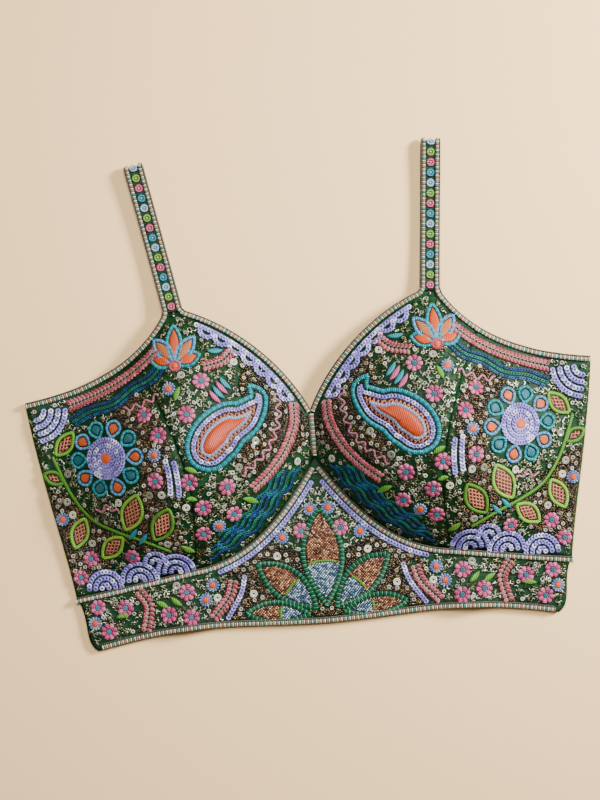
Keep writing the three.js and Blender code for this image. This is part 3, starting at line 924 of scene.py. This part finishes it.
# ---- The vine up the side ----
# A stem of thick twisted lime cord, laid along its line and couched down.
# Each leaf is a rim of the same cord round a net of peach thread.
CORD_WIDTH = 3.0
LIMES = dyed("#6fae22", "#4c8c1c", "#86c238")
STEM_POINTS = ((114, -82), (134, -72), (154, -64), (172, -54), (186, -36), (196, -14), (200, -4))
LEAVES = (  # where along the stem, the way it points, its length and width
    (0.12, 128, 27, 15), (0.29, 122, 29, 16), (0.27, -32, 23, 13), (0.55, -58, 24, 13),
    (0.74, 36, 15, 9), (0.98, 140, 21, 12),
)


def corded(work, path, dye):
    """Thick twisted cord along a line."""
    work.cord(along_cloth(path, 0.85, lift=0.35), CORD_WIDTH, CORD_WIDTH * 0.6, dye, twist=0.35, rib=0.16)
    cover(path, CORD_WIDTH + 0.4)


vine = Needlework()
stem = smooth_line(STEM_POINTS, 120)
corded(vine, stem, LIMES[1])
for share, degrees, length, width in LEAVES:
    foot = stem[int(share * 119)]
    blade = leaf(line_from(foot, degrees, length + 4, bend=-14)[3:], width, 0.5, 30)
    corded(vine, all_round(blade), LIMES[int(share * 10) % 3])
    netting(nets, inset(blade, 1.9), 2.5, (degrees + 35, degrees - 35), width=1.0)
    flat_ground(nets, inset(blade, 1.2), MAROON)
vine.finish("vine_cords", FLOSS)
nets.finish("leaf_and_paisley_netting", FLOSS)

# ---- Waves of chain stitch ----
# Lines of heavy chain stitch in blue and teal, each loop coming out of the one before.
# Five ripple along the foot of the cup and three below the armhole.
# A chain loop's rounds with their painted light: the crown painted brighter as a painted highlight, the rim
# and the inside of the loop darker as painted shade.
LINK = ring_solid(((1.0, 0.0, 0.6), (0.76, 0.4, 1.15), (0.36, 0.1, 0.3)), 8)
LINK_LENGTH, LINK_WIDTH = 3.3, 2.7
WAVES = dyed("#14539c", "#0a7a66", "#0d3a7c", "#129a88", "#2a78b8")
WAVE_STEP = 3.3


def rippled(line, depth, pace):
    """A line that sways from side to side, by an angle of pace at each point."""
    return line + left_of(line) * (depth * np.sin(np.arange(len(line)) * pace))[:, None]


waves = Needlework()
arm_curve = curve(ARMHOLE, 90)
seam = densify(SEAM_LINE, 1.0)
wave_lines = [
    shift(seam[int((0.06 + 0.012 * k) * len(seam)) : int((0.52 - 0.02 * k) * len(seam))], 6.5 + WAVE_STEP * k)
    for k in range(5)
]
wave_lines += [shift(arm_curve, -(3.0 + WAVE_STEP * k))[16 : 79 - k] for k in (5, 6, 7)]
for k, line in enumerate(wave_lines):
    line = rippled(line, 1.3, 1 / 3.4)
    spots = along_cloth(line, LINK_LENGTH * 0.74, 0.45)
    dyes = some_of(WAVES[[k % 5, (k + 2) % 5]], len(spots[0]))
    waves.sew(LINK, spots, (LINK_LENGTH / 2, LINK_WIDTH / 2, LINK_WIDTH / 2), dyes, tip=0.12)
    cover(line, LINK_WIDTH + 0.3)
waves.finish("wave_chain_stitch", FLOSS)

# ---- Wheat-ear bands ----
# Pairs of open pink loops on either side of a line, each loop caught down with a pale thread.
# They run below the armhole, round the inner cup, under the lotus and up the band.
PINKS = dyed("#b84058", "#cc6078", "#a8344e")
WHEAT_TIE = dyed("#c9a090")
EAR_STEP, EAR_LEAN = 3.0, 1.02
PETAL_ROUNDS = ((0.0, 0.25), (0.28, 0.72), (0.6, 1.0), (0.86, 0.98), (1.0, 0.45))  # along it, and width


def petal_shape(corners=6):
    """A plump petal along X, from its foot at 0 to its tip at 1."""
    way = heading(np.linspace(0, 2 * np.pi, corners, endpoint=False))
    points = [(x, 0.5 * w * c, 0.5 * w * (s + 0.6)) for x, w in PETAL_ROUNDS for c, s in way]
    # Painted shade and painted highlight: a petal is painted darker at its foot and brighter towards its tip.
    shade = np.repeat([0.62 + 0.45 * x for x, _ in PETAL_ROUNDS], corners)
    return np.array(points), tube_faces(len(PETAL_ROUNDS), corners), shade


PETAL = petal_shape()
ears, ties = Needlework(), Needlework()
for path, width in (
    (shift(arm_curve, -11.2)[20:72], 9.5),
    (smooth_line(((13, 22), (14, 6), (22, -12), (34, -27), (47, -38))), 9.5),
    (smooth_line(((55, 66), (64, 58), (76, 55))), 8.5),
    (smooth_line(((70, -110), (74, -122), (86, -136)), 20), 8.5),
    (smooth_line(((143, -112), (136, -124), (139, -141)), 20), 8.5),
):
    at, along, out = along_cloth(path, EAR_STEP, lift=0.4)
    across = np.cross(out, along)
    for side in (1, -1):
        foot = at + across * side * 0.35
        dyes = some_of(PINKS, len(at))
        ears.sew(PETAL, (foot, along, out), (width * 0.53, 2.5, 2.2), dyes, turn=side * EAR_LEAN)
        middle = foot + (along * 0.52 + across * side * 0.85) * width * 0.27 + out * 0.3
        ties.sew(LINK, (middle, along, out), (width * 0.29, 1.75, 1.5), WHEAT_TIE, turn=side * EAR_LEAN)
    cover(path, width)
ears.finish("wheat_ear_loops", FLOSS)
ties.finish("wheat_ear_ties", FLOSS)

# ---- Vermicelli ----
# A thin pink and white twist that wanders in small curves beside the wheat ears.
# It is couched down at each turn.
TWIST = dyed("#c98a98", "#b85c74")
vermicelli = Needlework()
for corners in (
    ((25, 30), (25, 12), (31, -5), (43, -19), (56, -28)),
    ((112, 36), (126, 30), (140, 27)),
    ((150, -50), (158, -45), (168, -48)),
):
    line = rippled(densify(smooth_line(corners), 0.7), 2.0, 0.5)
    spots = along_cloth(line, 0.8, lift=0.35)
    dyes = TWIST[np.arange(len(spots[0])) // 2 % 2]
    vermicelli.cord(spots, 2.0, 1.4, dyes, twist=0.5, rib=0.14)
    cover(line, 2.2)
vermicelli.finish("vermicelli_twist", FLOSS)

# ---- Small flowers ----
# Eight fat pink petals in padded satin stitch, each flower about 13 mm across.
# Its middle is a knot of teal thread.
FULL_TURN = 6.3
PETAL_FOOT = 1.3  # how far from the middle a petal starts
# A seed bead, as shares of its half size: its two rounds, and the points at its ends.
# Its top is painted brighter as a painted highlight, and its lower half darker as painted shade.
BEAD = disc_solid(((0.88, -0.42, 0.6), (0.88, 0.42, 1.0)), 6, top=(0.95, 1.2), foot=(-0.9, 0.5))
FLOWER_PINKS = dyed("#c9527e", "#d8759c", "#b44670")
TEAL = dyed("#0f7f92")
FLOWERS = (  # x, y, radius
    (80, 44, 6.6), (92, 20, 6.8), (94, -30, 6.8), (86, -50, 6.6), (67, -36, 6.8), (64, -57, 6.4),
    (119, -27, 6.4), (114, 6, 6.6), (88, -70, 6.4), (177, -84, 6.2), (186, -98, 5.8), (144, -84, 6.0),
    (124, 22, 6.2), (15, -76, 6.2), (106, -116, 6.6), (121, -132, 6.6), (104, -135, 6.4), (154, -124, 6.4),
    (168, -141, 6.4), (175, -122, 6.0),
)


def on_cloth(points, turn, lift=0.0):
    """Spots at plan points, each turned by its own angle."""
    way = heading(turn)
    out = out_of(points[:, 0], points[:, 1])
    rise = -(out[:, :2] * way).sum(1) / out[:, 2]
    return raised(points, lift), unit(np.column_stack([way, rise])), out


def flower(work, x, y, radius, petals, dyes, width):
    """A flower of plump petals."""
    turn = 2 * np.pi * (np.arange(petals) + rng.random()) / petals
    spots = on_cloth((x, y) + PETAL_FOOT * heading(turn), turn, 0.45)
    work.sew(PETAL, spots, (radius - PETAL_FOOT, width, 1.7), some_of(dyes, petals))
    cover(ring((x, y), radius * 0.5, 14), radius)


flowers, knots = Needlework(), Needlework()
for x, y, radius in FLOWERS:
    flower(flowers, x, y, radius, 8, FLOWER_PINKS, 3.9)
    knot = np.vstack([[(x, y)], ring((x, y), 1.25, 7)[:-1]])
    knots.sew(BEAD, on_cloth(knot, np.zeros(len(knot)), 1.2), (0.85, 0.85, 0.8), TEAL)
flowers.finish("pink_flower_petals", FLOSS)

# ---- Fringed florets ----
# Short pale blue stitches fringe a satin boss of deep orange.
# They are smaller than the flowers, and fill the gaps between them.
FLORET_RADIUS = 5.4
FRINGE = dyed("#7f96c8", "#a3b6dc", "#6480ba")
BOSS = dyed("#df5a26")
FLORETS = (
    (7, -60), (30, -80), (118, -8), (76, -65), (196, -52), (178, -134), (86, -112), (92, -123), (104, 40),
)
fringes, bosses = Needlework(), Needlework()
for x, y in FLORETS:
    flower(fringes, x, y, FLORET_RADIUS, 13, FRINGE, 1.7)
    padded_fill(bosses, ring((x, y), FLORET_RADIUS / 2, 13)[:-1], 1.3, BOSS, lay=x, lift=0.9)
fringes.finish("floret_fringes", FLOSS)
bosses.finish("floret_bosses", FLOSS)
knots.finish("flower_knots", FLOSS)

# ---- The palmette on the band's peak ----
# Five broad petals fan up from the hem. Each has a green striped rim over a flat dark ground of thread.
# Lilac sequins follow the peak above it.
WHOLE = (("", 1),)  # for pieces that run across both sides
GREEN_STRIPES = dyed("#1f8a48", "#0a4a3c", "#35a060", "#0b3f44")
DARK_GROUND = dyed("#2a1a10")
peak_sequins = Needlework()
peak_line = shift(SEAM_LINE[6:52], -(EDGING_WIDTH + 2.6))
sequin_row(peak_sequins, peak_line[peak_line[:, 0] > 3], SMALL_SEQUIN)
sequin_row(peak_sequins, smooth_line(((61, -108), (65, -121), (76, -138)), 24), SMALL_SEQUIN)
peak_sequins.finish("peak_sequins", LILAC_FILM)
PALMETTE = (  # foot, the way it points, bend, length, width
    ((0, -134), 90, 0, 74, 30), ((8, -136), 47, -12, 56, 23), ((14, -140.5), 11, -12, 48, 16),
)
palmette_rims, palmette_ground, palmette_petals = Needlework(), Needlework(), []
for foot, degrees, bend, length, width in PALMETTE:
    petal = leaf(line_from(foot, degrees, length, bend), width, 0.52, 44)
    for outline in [petal, petal * MIRRORED] if bend else [petal]:
        barred_rim(palmette_rims, all_round(outline), 3.8, GREEN_STRIPES, step=1.6, height=1.7)
        palmette_petals.append((inset(outline, 2.4), outline[0], length))
        flat_ground(palmette_ground, inset(outline, 1.0), DARK_GROUND)
    fill_map(petal, False)
palmette_rims.finish("palmette_rims", FLOSS, WHOLE)
palmette_ground.finish("palmette_ground", FLOSS, WHOLE)

# ---- Small satin leaves and bars ----
# Single leaves in lime, and short bars in turquoise and pink, all in padded satin stitch.
# They fill odd corners.
SPRIG_DYES = {"lime": dyed("#5a9c22"), "teal": dyed("#0f8f9e"), "pink": dyed("#cf5688")}
SPRIGS = (  # x, y, the way it points, length, width, colours side by side
    (57, -46, 190, 13, 4.6, "lime"), (97, -19, 195, 11, 4.2, "lime"), (100, 30, 100, 12, 4.2, "lime"),
    (66, 26, 40, 14, 3.8, "pink teal pink teal"), (130, -66, 300, 12, 3.8, "teal none teal"),
    (62, 66, 352, 13, 3.8, "teal"), (110, -126, 30, 12, 4.2, "lime"), (131, -121, 200, 12, 4.4, "lime"),
    (162, -131, 160, 12, 4.4, "lime"), (98, -42, 180, 9, 3.8, "lime"), (96, -84, 20, 12, 4.4, "lime"),
)
sprigs = Needlework()
for x, y, degrees, length, width, colours in SPRIGS:
    apart = heading(math.radians(degrees + 90)) * (width + 0.4)
    for k, colour in enumerate(colours.split()):
        if colour in SPRIG_DYES:
            blade = leaf(line_from((x, y) + apart * k, degrees, length, bend=24), width, 0.5, 14)
            padded_fill(sprigs, blade, 1.2, SPRIG_DYES[colour], lay=degrees + 70)
            cover(blade, 1.2)
sprigs.finish("satin_leaves_and_bars", FLOSS)

# ---- Big clear sequins ----
# Flat rings of clear film, 6 mm across, held down by a loop of silver wire. They are scattered in the gaps.
# Their film is smoother than the lilac kind's. Its silvery look where it catches the light is partly painted:
# a painted sheen towards its edges, painted highlights on its rim and its wire loop, and painted shade
# between them and nearly black in its middle.
CLEAR_FILM = dyed_film("clear_film_sequins_painted_sheen", 0.18, "#b9b8a8")
SILVERS = dyed("#7c7b6a", "#929180", "#646350", "#aeac96")
BIG_SEQUIN_RADIUS = 3.1
BIG_SEQUIN = disc_solid(
    ((1.0, 0.0, 0.4), (0.86, 0.25, 2.2), (0.68, 0.08, 0.3), (0.42, 0.2, 1.8), (0.26, 0.02, 0.05)), 14
)


def scatter(spacing, spread, region=None, margin=0.0):
    """Places for a fill: a loose even spread over the bare cloth, or over the bare cloth of one region."""
    x = np.arange(BARE_CORNER[0], 222, spacing)
    y = np.arange(BARE_CORNER[1], 104, spacing * 0.87)
    grid = np.stack(np.meshgrid(x, y, indexing="ij"), -1)
    grid[:, 1::2, 0] += spacing / 2
    points = grid.reshape(-1, 2) + rng.uniform(-spread, spread, (grid[..., 0].size, 2))
    points = points[points[:, 0] > 0.4]
    clear = bare
    for _ in range(int(round(margin / BARE_STEP))):
        clear = clear & np.all([np.roll(clear, way, axis) for way in (1, -1) for axis in (0, 1)], axis=0)
    points = points[clear[cells(points)]]
    return points if region is None else points[inside(region, points)]


def strew(work, copy, places, lift, size, dyes, tip=0.0):
    """Sews copies of a small thing at some places, each turned at random and in one of the dyes."""
    spots = on_cloth(places, rng.uniform(0, FULL_TURN, len(places)), lift)
    work.sew(copy, spots, size, some_of(dyes, len(places)), tip=tip)


big_sequins = Needlework()
places = scatter(21.0, 6.5, margin=3.0)
strew(big_sequins, BIG_SEQUIN, places, 0.6, BIG_SEQUIN_RADIUS, SILVERS)
for place in places:
    cover(np.array([place, place + (0.1, 0)]), 6.4)
big_sequins.finish("big_clear_sequins", CLEAR_FILM)

# ---- Bronze bead ground ----
# Glass seed beads lined with bronze, sewn close in every direction in four patches.
# Silver sequins are strewn over them.
# A silver sequin's rounds with their painted light: the crown painted brighter as a painted highlight, the
# rim darker and the closed middle nearly black as painted shade in its hole.
SILVER_SEQUIN = disc_solid(((1.0, 0.0, 0.5), (0.78, 0.28, 1.6), (0.56, 0.12, 0.8), (0.48, 0.03, 0.04)), 9)
SILVER_SIZE = (1.65, 1.65, 1.5)
BRONZES = dyed("#0e0905", "#211509", "#34220f", "#4f391b", "#150e08", "#755a30", "#291b0c")
BRONZE_PATCHES = [smooth_line(corners, count, closed=True) for count, corners in (
    (60, ((0, -112), (40, -84), (74, -104), (70, -148), (0, -150))),
    (60, ((104, -84), (112, -40), (106, 0), (128, 40), (150, 20), (128, -8), (134, -40), (150, -70))),
    (60, ((4, 24), (24, 34), (44, 56), (52, 34), (40, 12), (60, -4), (50, -30), (16, -16), (4, -4))),
    (40, ((170, -50), (150, -76), (184, -100), (205, -84), (206, -30))),
)]


def dyed_surface(name, **sockets):
    """A plain surface that takes its colour from each bead's or wire's dye attribute: its own dye with the
    painted shade and painted highlights of its shape.
    """
    material, shader = new_material(name, **sockets)
    dye = add_node(material, "ShaderNodeAttribute", attribute_name="dye")
    feed(material, shader, Base_Color=dye.outputs["Color"])
    return material


# The lining gives each bead a metal's depth, and the glass over it a small hard highlight.
LINED_GLASS = dyed_surface("seed_beads_bronze_lined_glass", Roughness=0.22, Metallic=0.55, Coat_Weight=0.5)
silver_sequins, bronze_beads = Needlework(), Needlework()
for patch_outline in BRONZE_PATCHES:
    places = scatter(6.4, 1.8, patch_outline, margin=1.0)
    strew(silver_sequins, SILVER_SEQUIN, places, 1.5, SILVER_SIZE, SILVERS, tip=0.2)
for patch_outline in BRONZE_PATCHES:
    strew(bronze_beads, BEAD, scatter(1.6, 0.4, patch_outline), 0.75, (1.3, 0.8, 0.8), BRONZES)
for patch_outline in BRONZE_PATCHES:
    fill_map(patch_outline, False)
bronze_beads.finish("bronze_bead_ground", LINED_GLASS)

# ---- Beads in the palmette's petals ----
# Rows of lined glass seed beads, blue at each petal's foot and peach above, sewn on in bricked rows.
# A lime cord parts the two colours.
PEACH_GLASS = dyed("#8f5838", "#704228", "#a87652", "#43291a", "#bf9870")
BLUE_GLASS = dyed("#6a859c", "#496884", "#93a9b6", "#2e4c66", "#b3c2c4")
BEAD_PITCH = (2.1, 1.2)
petal_beads, petal_cords = Needlework(), Needlework()
i, j = np.meshgrid(np.arange(-40, 40), np.arange(-80, 80), indexing="ij")
bricks = np.column_stack([(i + 0.5 * (j % 2)).ravel(), j.ravel()]) * BEAD_PITCH
for inner, foot, length in palmette_petals:
    places = bricks + inner.mean(0)
    places = places[inside(inner, places)]
    is_blue = np.linalg.norm(places - foot, axis=1) < length * 0.44
    dyes = np.where(is_blue[:, None], some_of(BLUE_GLASS, len(places)), some_of(PEACH_GLASS, len(places)))
    petal_beads.sew(BEAD, on_cloth(places, np.full(len(places), 0.6), 0.8), (1.25, 0.75, 0.8), dyes)
    band = ring(foot, length * 0.46, 60)
    band = band[inside(inner, band)]
    band = band[np.argsort(np.arctan2(*(band - foot).T[::-1]))]
    petal_cords.cord(along_cloth(band, 0.9, 1.0), 2.0, 1.6, LIMES[1], rib=0.15)
petal_beads.finish("palmette_bead_rows", LINED_GLASS, WHOLE)
petal_cords.finish("palmette_cords", FLOSS, WHOLE)

# ---- Wire ground ----
# Short cut lengths of fine coiled wire, silver and pale gold, each caught down in a little curl.
# They crowd together and leave small patches of the silk bare. Silver sequins lie among them.
WIRES = dyed("#a0a28c", "#6a6d55", "#d6d7c6", "#80794c", "#454a36", "#b4b5a0")
PATCH_SHARE = -0.3  # below this the curls leave a small patch of silk bare
# Bright plated metal: each curl glints on its own, and the tarnished dyes keep the ground from glaring.
WIRE = dyed_surface("coiled_wire_silver_plated", Roughness=0.28, Metallic=1.0)


def curl_shape(sweep=200, rings=5, corners=4, thickness=0.3):
    """A short curl of wire, as an arc."""
    arc = heading(np.radians(np.linspace(0, sweep, rings)))
    around = heading(np.linspace(0, 2 * np.pi, corners, endpoint=False)) * thickness
    points = [(*(m * (1 + c)), s) for m in arc for c, s in around]
    # Painted light: each curl's top is painted brighter as a painted highlight, and its underside darker as
    # painted shade.
    return np.array(points), tube_faces(rings, corners), np.tile((1.0, 1.2, 1.0, 0.4), rings)


CURL = curl_shape()
wires = Needlework()
places = scatter(2.0, 0.7, margin=0.5)
x, y = places.T
wander = np.sin(x / 2.9 + 2 * np.sin(y / 5.3)) * np.sin(y / 3.3 + 2 * np.sin(x / 4.7))
places = places[wander > PATCH_SHARE]
spots = on_cloth(places, rng.uniform(0, FULL_TURN, len(places)), 0.6)
wires.sew(CURL, spots, rng.uniform(1.0, 1.5, (len(places), 1)), some_of(WIRES, len(places)))
wires.finish("coiled_wire_ground", WIRE)
strew(silver_sequins, SILVER_SEQUIN, scatter(9.5, 3.4, margin=1.0), 1.3, SILVER_SIZE, SILVERS, tip=0.2)
silver_sequins.finish("silver_sequins", CLEAR_FILM)

# ---- Ring sequins down the straps ----
# A row of small cupped rings between the strap's two edgings, in pink, green, pale blue and teal in turn.
# Each is held by a pale bead in its middle.
RING_DYES = dyed("#cf5078", "#74a42c", "#92bcdc", "#18869f")
RING_BEAD = dyed("#d5d3c4")
RING_STEP = 7.9
# A ring's rounds with their painted light: the crown painted brighter as a painted highlight, the rim and the
# middle darker as painted shade.
RING_CUP = disc_solid(((1.0, 0.0, 0.5), (0.74, 0.42, 1.15), (0.46, 0.2, 0.95), (0.38, 0.1, 0.3)), 16)


def out_of_strap(name, line):
    """The direction straight out of a strap, along a line on it."""
    across = (math.cos(LEAN[name]), -math.sin(LEAN[name]), 0)
    return unit(np.cross(across, np.gradient(line, axis=0)))


for name, side in SIDES:
    route, shown = strap_route(name)
    middle = strap_points(name, route[:shown], 0, STRAP_CLOTH / 2 + 0.2)
    spots = spots_from(middle, out_of_strap(name, middle), RING_STEP / 2)
    at, along, out = (part[1::2] for part in spots)
    rings = Needlework()
    rings.sew(RING_CUP, (at, along, out), (3.45, 3.45, 2.8), in_turn(RING_DYES, len(at)))
    rings.sew(BEAD, (at + out * 0.4, along, out), 0.9, RING_BEAD)
    rings.finish("strap_rings", FLOSS, ((name, side),))

# ---- Beaded edging ----
# Bugle beads and thread whipped side by side over a narrow braid, with a taupe binding along the outside.
# The binding cord is made dark partly as painted shadow: it stands for the soft shade along the edging's
# outer edge.
# It is sewn on last, over every raw edge and seam, and replaces the plain edging nodes.
EDGE_DYES = dyed("#e6e2cc", "#a49c7c", "#dcd6bb", "#b87a5c", "#ece8d6", "#8a8a5c", "#d8d0b2", "#3f8a80")
# The binding's dark taupe is partly painted shadow along the edging's outer edge.
BRAID, BINDING_AND_EDGE_SHADOW = dyed("#33402f"), dyed("#4c4637")
EDGE_STEP = 1.6
STRAP_EDGING_WIDTH = 3.8
EDGE_BEADS = stitched_thread("bugle_beads_whipped_over_braid", 0.3, 0.1)


def edge_piece(name, spots, outer, width=EDGING_WIDTH, sides=SIDES):
    """The braid, the beads over it and the binding along the outer edge, as one piece. The binding is dark
    partly as painted shadow.
    """
    at, along, out = spots
    n = len(at)
    width = np.broadcast_to(width, n)
    across = np.cross(out, along) * (outer * width)[:, None]
    work = Needlework()
    work.cord(spots, width * 0.96, 0.8, BRAID)
    sizes = np.column_stack([np.full(n, EDGE_STEP), width * 0.66, np.full(n, 1.35)])
    work.sew(BAR, (at - across * 0.13 + out * 0.25, along, out), sizes, in_turn(EDGE_DYES, n))
    work.cord((at + across * 0.35 + out * 0.2, along, out), width * 0.3, 1.3, BINDING_AND_EDGE_SHADOW, corners=5)
    work.finish(f"{name}_edging", EDGE_BEADS, sides, "beaded_edging", f"edging_{name}")


def cloth_edge(path, inwards):
    """The middle line of an edging that lies just inside a line on the cloth."""
    dense = densify(path, 1.0)
    inner = left_of(dense) * inwards
    half = EDGING_WIDTH / 2
    drop = face(*(dense + inner * half).T) - face(*dense.T)
    return raised(dense + inner * (half**2 / np.hypot(half, drop))[:, None], 0.7)


def edge_spots(line):
    """Where the beads go along an edging's middle line."""
    return spots_from(line, out_of(line[:, 0], line[:, 1]), EDGE_STEP)


for name, side in SIDES:
    route, shown = strap_route(name)
    for part, line, inwards in (
        ("neckline", curve(NECKLINE, 120, 0.008), -1),
        ("armhole", curve(ARMHOLE, 120, 0.995, 0), 1),
    ):
        on_cup = cloth_edge(line, inwards)[:-2]
        from_middle = inwards * (STRAP_WIDTH / 2 - STRAP_EDGING_WIDTH / 2)
        on_strap = strap_points(name, route[:shown], from_middle, STRAP_CLOTH / 2 + 0.5)[2:]
        up = np.vstack([out_of(on_cup[:, 0], on_cup[:, 1]), out_of_strap(name, on_strap)])
        spots = spots_from(np.vstack([on_cup, on_strap]), up, EDGE_STEP)
        width = np.where(spots[0][:, 1] > CUP_TOP_Y, STRAP_EDGING_WIDTH, EDGING_WIDTH)
        edge_piece(part, spots, -inwards, width, ((name, side),))
under = cloth_edge(SEAM_LINE[1:], -1)
edge_piece("underbust", edge_spots(under[under[:, 0] > EDGING_WIDTH / 2]), 1)
hem_line = curve(HEM, 90, 0, 0.985)
hem = cloth_edge(np.vstack([hem_line[:0:-1] * MIRRORED, hem_line]), 1)
edge_piece("hem", edge_spots(hem), 1, sides=WHOLE)
centre_y = np.linspace(-19, 12, 30)
centre_height = face(np.full(30, EDGING_WIDTH / 2), centre_y) + 0.7
centre_line = np.column_stack([0 * centre_y, centre_y, centre_height])
centre_spots = spots_from(centre_line, np.tile((0.0, 0.0, 1.0), (30, 1)), EDGE_STEP)
edge_piece("centre", centre_spots, 1, sides=WHOLE)

low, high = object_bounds()
